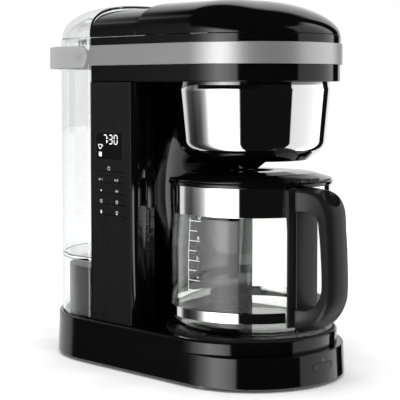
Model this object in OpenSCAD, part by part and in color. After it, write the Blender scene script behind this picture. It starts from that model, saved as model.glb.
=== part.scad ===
// Drip coffee maker: long base with a round front, tower and clear water tank at the rear,
// round head with a steel band and a domed brew lid, mirror basket housing, glass carafe.
// Millimetres. +Z up, front towards -Y, origin on the table under the brew axis.

/* [Overall] */
// Half width of the base at its foot
foot_r = 92.5; // [84:0.5:112]
// Distance from the brew axis to the centre of the round rear end
plan_len = 149; // [140:1:180]
// Height of the deck that carries the tower and the tank
deck_z = 45; // [44:1:54]
// Height of the head's underside above the deck
bay_h = 238; // [236:1:290]
// Half width of the steel band
band_r = 88; // [87:0.5:106]
// Height of the roof above the collar
roof_h = 34; // [28:1:42]

/* [Base] */
// Inward lean of the base wall from foot to step
foot_flare = 1.5; // [0:0.5:3]
// Height of the step round the front
step_z = 32; // [28:1:38]
// Depth of the step at the front
step_depth = 8; // [4:1:12]
// Thickness of the moulded housings
wall = 2.5; // [2:0.1:3.2]
// Height of the rubber feet
foot_h = 3; // [2:0.5:5]
// Radius of the warming plate
plate_r = 80; // [78:0.5:84]
// Rise of the warming plate above the deck
plate_rise = 3; // [2:0.5:4]
// Width of the front button
front_key_w = 29; // [20:1:36]
// Height of the front button
front_key_h = 6.4; // [5:0.2:9]
// Bore radius of the cord gland
gland_bore_r = 3.6; // [3:0.1:4.5]

/* [Tower] */
// Half width of the tower and the tank
tower_r = 87; // [82:0.5:104]
// Front face of the tower's side lips
lip_y = 71; // [68:1:76]
// Radius of the hollow wall behind the carafe
bay_r = 94; // [90:0.5:98]
// Face where the tower ends and the tank begins
split_y = 136; // [132:1:142]
// Height of the display window
window_h = 25.5; // [20:0.5:32]
// Width of the display window
window_w = 38.5; // [30:0.5:44]
// Height of a panel key
key_h = 3; // [2.4:0.2:4]
// Length of a short panel key
key_w = 20.5; // [16:0.5:22]
// Vertical distance between two rows of keys
key_pitch = 10.7; // [9:0.1:12]
// Travel of a panel key
key_travel = 0.7; // [0.4:0.1:1]

/* [Head] */
// Height of the black skirt under the band
skirt_h = 16; // [12:1:20]
// Height of the steel band
band_h = 20; // [16:1:24]
// Height of the collar above the band
collar_h = 8; // [6:1:10]
// Seam between the brew lid and the fixed roof
lid_y = 70; // [64:1:76]
// Drop of the fixed roof below the brew lid
bridge_drop = 4; // [3:0.5:6]
// Radius of the basket housing at its top
bowl_r = 76; // [74:0.5:78]
// Height of the basket housing below the head
bowl_h = 74; // [68:1:76]
// Inward taper of the basket housing
bowl_taper = 5; // [3:0.5:8]
// Part of the circle that the mirror shell covers, in degrees
shell_sweep = 232; // [180:2:260]
// Travel of the drip stop
drip_travel = 4; // [2:0.5:5]

/* [Carafe] */
// Largest radius of the glass
glass_r = 79.5; // [74:0.5:82]
// Height of the glass
glass_h = 138; // [130:1:140]
// Thickness of the glass
glass_t = 2.4; // [2:0.1:3]
// Height of the steel band round the glass
carafe_band_h = 27; // [20:1:32]
// Distance from the axis to the outside of the grip
grip_out = 132; // [122:1:144]
// Width of the grip
grip_w = 26; // [20:1:30]
// Turn of the carafe on its plate, towards the control panel
carafe_turn = 11; // [-20:0.5:20]

/* [Tank] */
// Thickness of the tank wall
tank_t = 2.2; // [1.8:0.1:3]
// Height of the tank's floor above the deck
tank_floor_h = 58; // [50:1:64]
// Height of the pedestal in the tank's skirt
seat_h = 50; // [42:1:54]
// Height of the bail handle
bail_h = 22; // [16:1:24]
// Thickness of the bail handle
bail_t = 3; // [2.4:0.2:4]
// Finger gap between the tank and the bail
bail_gap = 13.5; // [8:0.5:18]
// Pivot radius of the bail
bail_pin_r = 4; // [3:0.5:6]

/* [Hidden] */
$fn = 96;

eps = 0.01;           // overlap that joins touching shapes
gap = 0.3;            // clearance between pieces that move past each other
slide = 0.5;          // clearance of a key in its slot
fit = 0.05;           // running clearance of a pin in its hole
through = 400;        // longer than any cut needs

// Heights
head_z = deck_z + bay_h;
band_z = head_z + skirt_h;
collar_z = band_z + band_h;
rim_z = collar_z + collar_h;
roof_z = rim_z + roof_h;
plate_z = deck_z + plate_rise;

// Base
step_r = foot_r - foot_flare;
base_end_y = plan_len;
cover_t = 2.5;
plate_t = 1.5;
plate_lip_r = plate_r - 1.5;
heater_r = 55;
heater_gap = 60;
ledge_w = 14;
groove = 0.8;
groove_depth = 1.6;
front_key_z = 19;
front_key_travel = 1.5;
front_key_depth = 4.5 + front_key_travel;
gland_z = 18;
gland_r = 7;
gland_len = 16;
foot_pad_r = 9;
foot_x = 58;
foot_front_y = -45;
screw_r = 1.8;
screw_head_r = 3.2;
screw_len = 9;
screw_x = foot_r - 12.5;

// Tower and panel
panel_t = 2.5;
panel_margin = 2;
corner_r = 4;
skirt_r = band_r - 2;
key_top_z = head_z - 90;
key_front_y = 87;
key_gap = 2.5;
key_proud = 0.8;
key_depth = 5.6;
switch_t = 1.2;
window_z = head_z - 63;
window_y = key_front_y + 21;
lens_t = 1.2;
board_t = 1.6;
hose_x = heater_r * sin(heater_gap / 2);
hose_r = 6;
hose_bore_r = 4;
riser_y = split_y - 22;
hose_z = 22;
clamp_t = 1.4;
clamp_w = 6;

// Roof
roof_r = band_r - 2;
roof_t = 2.4;
n_side = 3;
n_front = 1.8;
n_rear = 2;
roof_rows = 18;
roof_cols = 24;
hinge_y = lid_y + 2.2;
hinge_z = roof_z - bridge_drop - 2.4;
hinge_r = 2.4;
hinge_pin_r = 1.2;
knuckle_w = 12;
hinge_w = 24;
// Relief in the fixed roof's front edge: width past the hinge and depth from the seam
lid_swing_w = 10;
lid_swing_y = 0.85;

// Basket housing and basket
chamfer_h = 11;
chamfer_w = 16;
bowl_z = head_z - bowl_h;
outlet_r = 18;
outlet_h = 10.4;
outlet_tip_r = 6.5;
outlet_z = bowl_z - outlet_h;
stop_r = 3;
shell_t = 0.8;
basket_rim_r = bowl_r + 2;
deck_hole_r = bowl_r - 1.5;
head_deck_z = rim_z - 2;
basket_t = 1.8;
basket_top_z = head_deck_z + 2;

// Carafe
glass_z = plate_z + gap;
rim_of_glass_z = glass_z + glass_h;
neck_r = glass_r - 2.5;
carafe_band_z = rim_of_glass_z - carafe_band_h - 1;
carafe_band_t = 1;
foot_round = 13;
collar_top_z = rim_of_glass_z + 3;
lid_top_z = outlet_z - 1;
tab_w = 22;
tab_end = 96;
strap_r = glass_r + 4.5;
strap_w = 21;
strap_turn = asin(strap_w / 2 / strap_r);
bracket_turn = 12.5;
// Steel ring round the foot of the glass: height of its lower edge, height, gap beside the bracket
base_band_z = glass_z + foot_round;
base_band_h = 9.7;
base_band_gap = bracket_turn + 1;
// How far the grip roots into the strap, its height over the glass rim and over the plate
grip_root = 0.5;
grip_over = 0.2;
grip_clear = 4.2;

// Tank
tank_z = deck_z + 1;
tank_front_y = split_y + 1;
tank_top_z = rim_z - 0.5;
tank_floor_z = deck_z + tank_floor_h;
floor_t = 3;
seat_inset = 5;
seat_z = deck_z + seat_h;
valve_y = plan_len + 22;
neck_out_r = 11;
neck_in_r = 8.5;
neck_drop = 14;
valve_travel = 3;
socket_z = seat_z - neck_drop;
bail_z = band_z - 2;
bail_mid_z = bail_z + bail_h / 2;
bail_y = plan_len + 2;
bail_in_r = tower_r + 0.6;
bail_out_r = bail_in_r + bail_t;
bail_end_y = plan_len + bail_gap + tower_r - bail_in_r;
lid_pin_y = plan_len + tower_r + 3.4;
lid_pin_z = rim_z;
lid_pin_r = 1.5;
lid_lug_w = 10;

// ---------------------------------------------------------------- shared shapes

// Sweeps a (radius, height) profile round a long plan with round ends centred at y0 and y1
module pill_sweep(y0, y1) {
    nose_sweep(y0, y1) children();
    translate([0, y1, 0]) rotate_extrude(angle = 180) children();
}

// The same with a round front end at y0 and a flat rear end at y1
module nose_sweep(y0, y1) {
    translate([0, y0, 0]) rotate([0, 0, 180]) rotate_extrude(angle = 180) children();
    for (side = [0, 1]) mirror([side, 0, 0])
        translate([0, y1, 0]) rotate([90, 0, 0]) linear_extrude(y1 - y0) children();
}

// The same with a flat front end at y0 and a round rear end at y1
module tail_sweep(y0, y1) {
    translate([0, y1, 0]) rotate_extrude(angle = 180) children();
    for (side = [0, 1]) mirror([side, 0, 0])
        translate([0, y1, 0]) rotate([90, 0, 0]) linear_extrude(y1 - y0) children();
}

// Upright slice of the D-shaped tank plan
module tank_plan(r, front, z0, z1) {
    translate([0, 0, z0]) linear_extrude(z1 - z0) {
        intersection() {
            translate([0, plan_len]) circle(r = r);
            translate([-r - 1, plan_len - eps]) square([2 * r + 2, r + 2]);
        }
        translate([-r, front]) square([2 * r, plan_len - front]);
    }
}

module ring(r_out, r_in, h) {
    difference() {
        cylinder(r = r_out, h = h);
        translate([0, 0, -1]) cylinder(r = r_in, h = h + 2);
    }
}

// Bar with round ends, w wide in X and h high in Z, d deep in Y
module slot_bar(w, h, d) {
    rotate([-90, 0, 0]) {
        translate([-(w - h) / 2, -h / 2, 0]) cube([w - h, h, d]);
        for (s = [-1, 1]) translate([s * (w - h) / 2, 0, 0]) cylinder(r = h / 2, h = d, $fn = 32);
    }
}

// Straight hollow hose from a point, along one axis given by a rotation
module hose(len) {
    difference() {
        cylinder(r = hose_r, h = len, $fn = 48);
        translate([0, 0, -1]) cylinder(r = hose_bore_r, h = len + 2, $fn = 48);
    }
}

// Wire coil standing on z = 0
function coil_ring(r, wire, h, turns, t) = [
    for (a = [0:45:315]) [
        (r + wire * cos(a)) * cos(360 * turns * t),
        (r + wire * cos(a)) * sin(360 * turns * t),
        wire + (h - 2 * wire) * t + wire * sin(a)
    ]
];

module coil(r, wire, h, turns) {
    steps = turns * 14;
    sides = 8;
    points = [for (i = [0:steps]) each coil_ring(r, wire, h, turns, i / steps)];
    polyhedron(points, concat(
        [[for (k = [0:sides - 1]) k]],
        [[for (k = [sides - 1:-1:0]) steps * sides + k]],
        [for (i = [0:steps - 1]) for (k = [0:sides - 1])
            let (a = i * sides + k, b = i * sides + (k + 1) % sides) [b, a, a + sides]],
        [for (i = [0:steps - 1]) for (k = [0:sides - 1])
            let (a = i * sides + k, b = i * sides + (k + 1) % sides) [b, a + sides, b + sides]]
    ));
}

// ---------------------------------------------------------------- roof surface

// How square the roof's shoulder is at a point of the plan: square at the sides, softer at the ends
function shoulder(x, dy, n_end) =
    let (r = norm([x, dy])) r < eps ? n_side : n_end + (n_side - n_end) * pow(abs(x) / r, 6);

// Roof height above the rim at (x, y), for a roof of radius r and height h
function crown(x, y, r, h) =
    let (dy = y < 0 ? -y : y > plan_len ? y - plan_len : 0,
         n = dy == 0 ? n_side : shoulder(x, dy, y < 0 ? n_front : n_rear),
         d = min(1, norm([x, dy]) / r))
    h * pow(max(0, 1 - pow(d, n)), 1 / n);

function half_width(y, r) =
    let (dy = y < 0 ? -y : y > plan_len ? y - plan_len : 0) sqrt(max(0, r * r - dy * dy));

// Stations along Y, closer together towards a round end
function stations(y0, y1, r) = let (front = y0 < 0, rear = y1 > plan_len) [
    for (i = [0:roof_rows]) let (t = i / roof_rows)
        front ? y1 - (y1 - y0) * sin(90 * (1 - t)) :
        rear ? y0 + (y1 - y0) * sin(90 * t) : y0 + (y1 - y0) * t
];

// Grid of points on the roof between two stations, resting on height z
function roof_grid(y0, y1, r, h, z) = [
    for (y = stations(y0, y1, r)) for (j = [0:roof_cols])
        let (x = half_width(y, r) * sin(180 * j / roof_cols - 90))
            [x, y, z + (j == 0 || j == roof_cols ? 0 : crown(x, y, r, h))]
];

// Shell with a crowned top and closed ends, open below, t thick
module roof_shell(y0, y1, r, h, t) {
    wide = roof_cols + 1;
    tall = roof_rows + 1;
    total = wide * tall;
    tip = 0.02;
    front_in = y0 < 0 ? -(r - t) + tip : y0 + t;
    rear_in = y1 > plan_len ? plan_len + r - t - tip : y1 - t;
    outer = roof_grid(y0 < 0 ? -r + tip : y0, y1 > plan_len ? plan_len + r - tip : y1, r, h, rim_z);
    inner = roof_grid(front_in, rear_in, r - t, h - t, rim_z);
    cells = [for (i = [0:tall - 2]) for (j = [0:wide - 2]) i * wide + j];
    loop = concat(
        [for (i = [0:tall - 1]) i * wide],
        [for (i = [tall - 1:-1:0]) i * wide + wide - 1]
    );
    count = len(loop);
    polyhedron(concat(outer, inner), concat(
        [for (a = cells) [a, a + wide, a + 1]],
        [for (a = cells) [a + 1, a + wide, a + wide + 1]],
        [for (a = cells) [total + a, total + a + 1, total + a + wide]],
        [for (a = cells) [total + a + 1, total + a + wide + 1, total + a + wide]],
        [[for (j = [0:wide - 1]) j]],
        [[for (j = [wide - 1:-1:0]) total - wide + j]],
        [[for (j = [wide - 1:-1:0]) total + j]],
        [[for (j = [0:wide - 1]) 2 * total - wide + j]],
        [for (k = [0:count - 1]) let (a = loop[k], b = loop[(k + 1) % count]) [b, a, total + a]],
        [for (k = [0:count - 1]) let (a = loop[k], b = loop[(k + 1) % count]) [b, total + a, total + b]]
    ));
}

// ---------------------------------------------------------------- base

module base_wall_profile() {
    polygon([
        [foot_r - wall, foot_h], [foot_r, foot_h], [step_r, step_z], [step_r - ledge_w, step_z],
        [step_r - ledge_w, step_z - wall], [step_r - wall, step_z - wall]
    ]);
}

module base_deck_profile() {
    polygon([
        [0, deck_z - wall], [step_r - wall, deck_z - wall], [step_r - wall, step_z - wall],
        [step_r, step_z - wall], [step_r, deck_z], [0, deck_z]
    ]);
}

module base_housing() {
    color("black") difference() {
        union() {
            pill_sweep(0, base_end_y) base_wall_profile();
            pill_sweep(step_depth, base_end_y) base_deck_profile();
            for (p = screw_places()) translate([p[0], p[1], foot_h + cover_t])
                cylinder(r = 4.5, h = deck_z - wall - foot_h - cover_t + eps, $fn = 48);
        }
        for (p = screw_places()) translate([p[0], p[1], 0]) cylinder(r = screw_r, h = foot_h + screw_len, $fn = 32);
        translate([0, 0, step_z - wall - 1]) cylinder(r = plate_lip_r + gap, h = through);
        translate([0, step_depth, step_z]) rotate([0, 0, 180]) rotate_extrude(angle = 180)
            translate([step_r - groove_depth, 0]) square([groove_depth + 1, groove]);
        translate([-hose_x, riser_y, step_z]) cylinder(r = hose_r + 2, h = deck_z);
        translate([hose_x, valve_y, step_z]) cylinder(r = neck_out_r + 6, h = deck_z);
        translate([0, -foot_r - 1, front_key_z])
            slot_bar(front_key_w + 2 * slide, front_key_h + 2 * slide, 20);
        translate([0, foot_r + plan_len - 12, gland_z]) rotate([-90, 0, 0])
            cylinder(r = gland_r + fit, h = 20);
    }
}

module base_cover() {
    color("dimgray") difference() {
        translate([0, 0, foot_h]) pill_sweep(0, base_end_y)
            square([foot_r - wall - 0.4, cover_t]);
        for (p = screw_places()) translate([p[0], p[1], 0]) cylinder(r = screw_r + 0.2, h = 20, $fn = 32);
        for (i = [-4:4]) translate([-30, 110 + i * 7, 0]) cube([60, 3, 20]);
    }
}

function screw_places() = [
    for (x = [-screw_x, screw_x]) for (y = [-12, plan_len - 20]) [x, y]
];

function foot_places() = concat(
    [for (x = [-foot_x, foot_x]) [x, foot_front_y]],
    [for (x = [-foot_x, foot_x]) [x, plan_len + 40]],
    [[0, 0]]
);

module rubber_feet() {
    color("dimgray") for (p = foot_places()) translate([p[0], p[1], 0])
        cylinder(r1 = foot_pad_r - 0.6, r2 = foot_pad_r, h = foot_h);
}

module base_screws() {
    color("silver") for (p = screw_places()) translate([p[0], p[1], foot_h - 1.5]) {
        difference() {
            cylinder(r = screw_head_r, h = 1.5, $fn = 32);
            for (a = [0, 90]) rotate([0, 0, a]) translate([-2, -0.4, -1]) cube([4, 0.8, 1.8]);
        }
        cylinder(r = screw_r, h = screw_len, $fn = 32);
    }
}

module warming_plate() {
    color("black") rotate_extrude() polygon([
        [0, plate_z - plate_t], [plate_lip_r - plate_t, plate_z - plate_t],
        [plate_lip_r - plate_t, plate_z - plate_t - 4], [plate_lip_r, plate_z - plate_t - 4],
        [plate_lip_r, plate_z - 2], [plate_r, plate_z - 1.4],
        [plate_r, plate_z - 0.8], [plate_r - 2, plate_z], [0, plate_z]
    ]);
}

module plate_seal() {
    color("dimgray") translate([0, 0, deck_z]) rotate_extrude() polygon([
        [plate_lip_r + gap, 0], [plate_r + 2.5, 0], [plate_r + 2.5, 0.7],
        [plate_r + 0.5, plate_rise - 1.6], [plate_lip_r + gap, plate_rise - 2.2]
    ]);
}

module heating_element() {
    heater_z = plate_z - plate_t - 8;
    stub_y = heater_r * cos(heater_gap / 2);
    color("silver") {
        translate([0, 0, heater_z]) rotate([0, 0, 90 + heater_gap / 2])
            rotate_extrude(angle = 360 - heater_gap) translate([heater_r - 9, 0]) square([18, 8]);
        difference() {
            union() {
                translate([0, 0, hose_z]) rotate([0, 0, 90 + heater_gap / 2])
                    rotate_extrude(angle = 360 - heater_gap) translate([heater_r, 0])
                        circle(r = hose_bore_r + 3, $fn = 48);
                translate([0, 0, hose_z]) rotate([0, 0, 90 + heater_gap / 2])
                    rotate_extrude(angle = 360 - heater_gap) translate([heater_r - 4, 0])
                        square([8, heater_z - hose_z + eps]);
                for (s = [-1, 1]) translate([s * hose_x, stub_y - eps, hose_z])
                    rotate([-90, 0, 0]) cylinder(r = hose_bore_r - eps, h = 24, $fn = 48);
            }
            for (s = [-1, 1]) translate([s * hose_x, stub_y + 1, hose_z])
                rotate([-90, 0, 0]) cylinder(r = hose_bore_r - 1, h = 24, $fn = 48);
        }
    }
}

module thermostats() {
    color("beige") for (x = [-14, 14]) translate([x, -4, plate_z - 1.5 - 9]) {
        cylinder(r = 8, h = 9, $fn = 48);
        translate([-3, -10, 2]) cube([6, 20, 0.8]);
    }
}

module power_board() {
    color("darkgreen") translate([-75, 70, 9]) {
        cube([38, 90, board_t]);
        translate([6, 8, board_t]) cube([16, 20, 14]);
        translate([6, 34, board_t]) cube([22, 16, 18]);
        for (y = [58, 72]) translate([14, y, board_t]) cylinder(r = 5, h = 16, $fn = 32);
    }
}

module cord_gland() {
    color("dimgray") translate([0, plan_len + foot_r - gland_len + 1, gland_z]) rotate([-90, 0, 0])
        difference() {
            union() {
                cylinder(r = gland_r, h = gland_len - 1.2);
                cylinder(r = gland_r + 2, h = gland_len - 1.2 - wall - 5);
                translate([0, 0, gland_len - 2.2]) cylinder(r = gland_r - 1, h = 1.2);
            }
            translate([0, 0, -1]) cylinder(r = gland_bore_r, h = gland_len + 2);
        }
}

module front_button() {
    color("black") intersection() {
        translate([0, -foot_r - 1, front_key_z]) slot_bar(front_key_w, front_key_h, front_key_depth + 12);
        ring(foot_r - foot_flare / 2 + 0.2, foot_r - front_key_depth - 2, 2 * step_z);
    }
}

// ---------------------------------------------------------------- tower

// Plan of the tower: side lips in front, flat rear face, hollow front wall round the brew axis
module tower_plan(inset, bay) {
    half = tower_r - inset;
    front = lip_y + inset;
    rear = split_y - inset;
    round_r = max(0.5, corner_r - inset);
    difference() {
        union() {
            translate([-half, front + round_r]) square([2 * half, rear - front - round_r]);
            translate([-half + round_r, front]) square([2 * (half - round_r), round_r + 1]);
            for (s = [-1, 1]) translate([s * (half - round_r), front + round_r]) circle(r = round_r);
        }
        circle(r = bay);
    }
}

// Space that the control panel fills in the side of the tower
module panel_block(extra) {
    translate([-tower_r - 1, lip_y + corner_r + 2 - extra, deck_z + 0.6 - extra])
        cube([panel_t + 1 + extra, split_y - lip_y - corner_r - panel_margin - 2 + 2 * extra,
              head_z - deck_z - 1.2 + 2 * extra]);
}

module tower_housing() {
    color("black") difference() {
        translate([0, 0, deck_z]) linear_extrude(head_z - deck_z) tower_plan(0, bay_r);
        translate([0, 0, deck_z - 1]) linear_extrude(head_z - deck_z + 2) tower_plan(wall, bay_r + wall);
        panel_block(0.1);
    }
}

// Centre of a key: row 0 is the full-width power key, rows below hold a left and a right key
function key_z(row) = key_top_z - row * key_pitch;
function key_y(side) = key_front_y + key_w / 2 + (side > 0 ? key_w + key_gap : 0);
power_key_w = 2 * key_w + key_gap;
power_key_y = key_front_y + power_key_w / 2;

module key_hole(y, z, w) {
    translate([-tower_r - 1, y, z]) rotate([0, 0, -90]) slot_bar(w + slide, key_h + slide, panel_t + 2);
}

// One key: a bar that stands proud of the panel, with a wider foot behind it
module key(y, z, w) {
    color("black") {
        translate([-tower_r - key_proud, y, z]) rotate([0, 0, -90])
            slot_bar(w, key_h, key_depth);
        translate([-tower_r + panel_t + gap, y - w / 2, z - key_h / 2 - 1])
            cube([key_depth - key_proud - panel_t - gap, w, key_h + 2]);
    }
}

module control_panel() {
    color("black") difference() {
        intersection() {
            panel_block(0);
            translate([0, 0, deck_z]) linear_extrude(head_z - deck_z) tower_plan(0, bay_r);
        }
        translate([-tower_r - 2, window_y - window_w / 2, window_z - window_h / 2])
            cube([20, window_w, window_h]);
        key_hole(power_key_y, key_z(0), power_key_w);
        for (row = [1:4]) for (side = [0, 1]) key_hole(key_y(side), key_z(row), key_w);
    }
}

module display_window() {
    color("black") translate([-tower_r, window_y - window_w / 2 + 0.1, window_z - window_h / 2 + 0.1])
        cube([lens_t, window_w - 0.2, window_h - 0.2]);
}

module display_module() {
    color("dimgray") {
        translate([-tower_r + lens_t, window_y - window_w / 2 + 0.5, window_z - window_h / 2 + 0.5])
            cube([panel_t + 1, window_w - 1, window_h - 1]);
        translate([-tower_r + panel_t + 0.4, window_y - window_w / 2 - 1.5, window_z - window_h / 2 - 2])
            cube([3, window_w + 3, window_h + 4]);
    }
}

board_x = -tower_r - key_proud + key_depth + key_travel + switch_t + 1;

module control_board() {
    board_z0 = key_z(4) - 8;
    board_z1 = window_z + window_h / 2 + 4;
    color("darkgreen") {
        translate([board_x, key_front_y - 1, board_z0])
            cube([board_t, power_key_w + 2, board_z1 - board_z0]);
        for (row = [0:4]) for (y = row == 0 ? [power_key_y] : [key_y(0), key_y(1)])
            translate([board_x - switch_t, y - 2.5, key_z(row) - 2.5]) cube([switch_t + eps, 5, 5]);
        translate([board_x + board_t - eps, window_y - 8, window_z - 8]) cube([2, 16, 16]);
    }
}

module key_power() { key(power_key_y, key_z(0), power_key_w); }
module key_2_left() { key(key_y(1), key_z(1), key_w); }
module key_2_right() { key(key_y(0), key_z(1), key_w); }
module key_3_left() { key(key_y(1), key_z(2), key_w); }
module key_3_right() { key(key_y(0), key_z(2), key_w); }
module key_4_left() { key(key_y(1), key_z(3), key_w); }
module key_4_right() { key(key_y(0), key_z(3), key_w); }
module key_5_left() { key(key_y(1), key_z(4), key_w); }
module key_5_right() { key(key_y(0), key_z(4), key_w); }

// ---------------------------------------------------------------- water path

bend_r = 14;
heater_end_y = heater_r * cos(heater_gap / 2) + 24 - 8;
check_y = 96;
check_len = 18;

module inlet_hose() {
    color("whitesmoke") translate([hose_x, 0, 0]) {
        translate([0, heater_end_y, hose_z]) rotate([-90, 0, 0]) hose(check_y - heater_end_y);
        translate([0, check_y + check_len, hose_z]) rotate([-90, 0, 0])
            hose(valve_y - bend_r - check_y - check_len);
        translate([0, valve_y - bend_r, hose_z + bend_r]) rotate([0, 90, 0]) hose_corner();
        translate([0, valve_y, hose_z + bend_r]) hose(socket_z - 2 - hose_z - bend_r);
    }
}

// Quarter bend of the hose round the Z axis
module hose_corner() {
    rotate_extrude(angle = 90) translate([bend_r, 0]) difference() {
        circle(r = hose_r, $fn = 48);
        circle(r = hose_bore_r, $fn = 48);
    }
}

riser_top_z = rim_z + 7;

module riser_hose() {
    color("whitesmoke") translate([-hose_x, 0, 0]) {
        translate([0, heater_end_y, hose_z]) rotate([-90, 0, 0]) hose(riser_y - bend_r - heater_end_y);
        translate([0, riser_y - bend_r, hose_z + bend_r]) rotate([0, 90, 0]) hose_corner();
        translate([0, riser_y, hose_z + bend_r]) hose(riser_top_z - 2 * bend_r - hose_z);
        translate([0, riser_y - bend_r, riser_top_z - bend_r]) rotate([90, 0, 90]) hose_corner();
        translate([0, riser_y - bend_r, riser_top_z]) rotate([90, 0, 0])
            hose(riser_y - bend_r - lid_y + 10);
    }
}

module check_valve() {
    color("ivory") translate([hose_x, check_y, hose_z]) rotate([-90, 0, 0]) difference() {
        cylinder(r = hose_r + 3, h = check_len, $fn = 48);
        translate([0, 0, -1]) cylinder(r = hose_bore_r - 1, h = check_len + 2, $fn = 48);
    }
}

module hose_clamps() {
    color("silver") {
        for (x = [-hose_x, hose_x]) translate([x, heater_end_y + 1, hose_z]) rotate([-90, 0, 0])
            ring(hose_r + clamp_t, hose_r + eps, clamp_w);
        for (y = [check_y - clamp_w - 0.5, check_y + check_len + 0.5])
            translate([hose_x, y, hose_z]) rotate([-90, 0, 0]) ring(hose_r + clamp_t, hose_r + eps, clamp_w);
        translate([hose_x, valve_y, hose_z + bend_r + 4]) ring(hose_r + clamp_t, hose_r + eps, clamp_w);
    }
}

// ---------------------------------------------------------------- head

module head_housing() {
    color("black") difference() {
        union() {
            nose_sweep(0, split_y) polygon([
                [skirt_r - wall, head_z], [skirt_r, head_z], [skirt_r, band_z], [skirt_r + 0.6, band_z],
                [skirt_r + 0.6, collar_z], [roof_r + 0.5, collar_z], [roof_r + 0.5, rim_z - gap],
                [roof_r - 1.6, rim_z - gap], [roof_r - 1.6, collar_z + 2], [skirt_r - wall, collar_z]
            ]);
            translate([0, 0, head_z]) nose_sweep(0, split_y) square([skirt_r - wall + eps, wall]);
            translate([0, 0, head_deck_z - wall]) nose_sweep(0, split_y)
                square([roof_r - 1.6 + eps, wall - gap]);
            translate([-skirt_r + wall, split_y - wall, head_z]) cube([2 * (skirt_r - wall), wall, rim_z - head_z - gap]);
        }
        translate([0, 0, head_z - 1]) cylinder(r = bowl_r + fit, h = wall + 2);
        translate([0, 0, head_deck_z - wall - 1]) cylinder(r = deck_hole_r, h = wall + 4);
        intersection() {
            translate([0, 0, head_z - 1]) linear_extrude(wall + 2) tower_plan(2 * wall, bay_r + 2 * wall);
            translate([-tower_r, 0, head_z - 1]) cube([2 * tower_r, split_y - wall - 2, wall + 2]);
        }
        translate([-hose_x, riser_y, head_deck_z - wall - 1]) cylinder(r = hose_r + 1, h = wall + 4);
        translate([-hose_x - hose_r - 1, lid_y - 14, head_deck_z - wall - 1])
            cube([2 * hose_r + 2, riser_y - lid_y + 14, wall + 4]);
    }
}

module head_band() {
    color("silver") translate([0, 0, band_z]) nose_sweep(0, split_y) polygon([
        [skirt_r + 0.6, 0.1], [band_r - 0.3, 0.1], [band_r, 0.4], [band_r, band_h - 0.4],
        [band_r - 0.3, band_h - 0.1], [skirt_r + 0.6, band_h - 0.1]
    ]);
}

module fixed_roof() {
    color("black") {
        difference() {
            roof_shell(lid_y + 0.4, split_y - 0.2, roof_r, roof_h - bridge_drop, roof_t);
            translate([-hose_x - hose_r - 1, lid_y - 1, rim_z - 1])
                cube([2 * (hose_r + 1), roof_t + 3, riser_top_z + hose_r + 1 - rim_z + 1]);
            translate([-hinge_w - 0.6, lid_y - 1, hinge_z - 4.5]) cube([2 * hinge_w + 1.2, 6, 20]);
            // Room for the brew lid's lower edge as it swings over the seam
            translate([-hinge_w - lid_swing_w, lid_y - 1, hinge_z]) cube([2 * (hinge_w + lid_swing_w), 1 + lid_swing_y, 20]);
        }
        difference() {
            union() {
                translate([-hinge_w - 0.6 - roof_t, lid_y + 0.4 + eps, hinge_z - 4.5 - roof_t])
                    cube([2 * (hinge_w + 0.6 + roof_t), 5, roof_t]);
                translate([-hinge_w - 0.6 - roof_t, lid_y + 5, hinge_z - 4.5 - roof_t])
                    cube([2 * (hinge_w + 0.6 + roof_t), roof_t, roof_t + 4.5 + 1]);
                for (s = [-1, 1]) translate([s * (hinge_w + knuckle_w + gap) / 2, hinge_y, hinge_z])
                    rotate([0, 90, 0]) cylinder(r = hinge_r, h = hinge_w - knuckle_w - gap, center = true, $fn = 48);
                for (s = [-1, 1]) translate([s * (hinge_w + knuckle_w + gap) / 2 - (hinge_w - knuckle_w - gap) / 2,
                        hinge_y, hinge_z - 1.4]) cube([hinge_w - knuckle_w - gap, lid_y + 5 + eps - hinge_y, 2.8]);
            }
            translate([0, hinge_y, hinge_z]) rotate([0, 90, 0])
                cylinder(r = hinge_pin_r + fit, h = 2 * hinge_w + 2, center = true, $fn = 48);
        }
    }
}

module hinge_pin() {
    color("silver") translate([0, hinge_y, hinge_z]) rotate([0, 90, 0])
        cylinder(r = hinge_pin_r, h = 2 * hinge_w, center = true, $fn = 48);
}

module brew_lid() {
    color("black") {
        difference() {
            roof_shell(-roof_r, lid_y - 0.5, roof_r, roof_h, roof_t);
            translate([-hose_x - hose_r - 2, lid_y - 6, rim_z - 1])
                cube([2 * (hose_r + 2), 8, riser_top_z + hose_r + 1.5 - rim_z + 1]);
        }
        difference() {
            union() {
                translate([0, hinge_y, hinge_z]) rotate([0, 90, 0])
                    cylinder(r = hinge_r, h = 2 * knuckle_w, center = true, $fn = 48);
                translate([-knuckle_w, lid_y - 0.5 - roof_t / 2, hinge_z - 1.4])
                    cube([2 * knuckle_w, hinge_y - lid_y + 0.5 + roof_t / 2, 2.8]);
            }
            translate([0, hinge_y, hinge_z]) rotate([0, 90, 0])
                cylinder(r = hinge_pin_r + fit, h = 2 * knuckle_w + 2, center = true, $fn = 48);
        }
    }
}

shower_r = 42;

module shower_head() {
    color("dimgray") translate([0, -4, 0]) difference() {
        union() {
            translate([0, 0, rim_z - 5]) cylinder(r = shower_r, h = 5);
            translate([0, 0, rim_z - eps]) cylinder(r = 12, h = roof_h - roof_t - 1.6);
            translate([-hose_x - 8, 30, rim_z - 5]) cube([16, lid_y - 4 - 30, 5]);
        }
        translate([0, 0, rim_z - 3.5]) cylinder(r = shower_r - 2, h = 2.2);
        for (a = [0:30:330]) rotate([0, 0, a]) translate([shower_r - 14, 0, rim_z - 6]) cylinder(r = 1.6, h = 4, $fn = 24);
        for (a = [0:60:300]) rotate([0, 0, a]) translate([shower_r - 28, 0, rim_z - 6]) cylinder(r = 1.6, h = 4, $fn = 24);
    }
}

module lid_gasket() {
    color("dimgray") translate([0, 0, head_deck_z - gap]) ring(basket_rim_r + 4, basket_rim_r + 1, 2);
}

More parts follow.
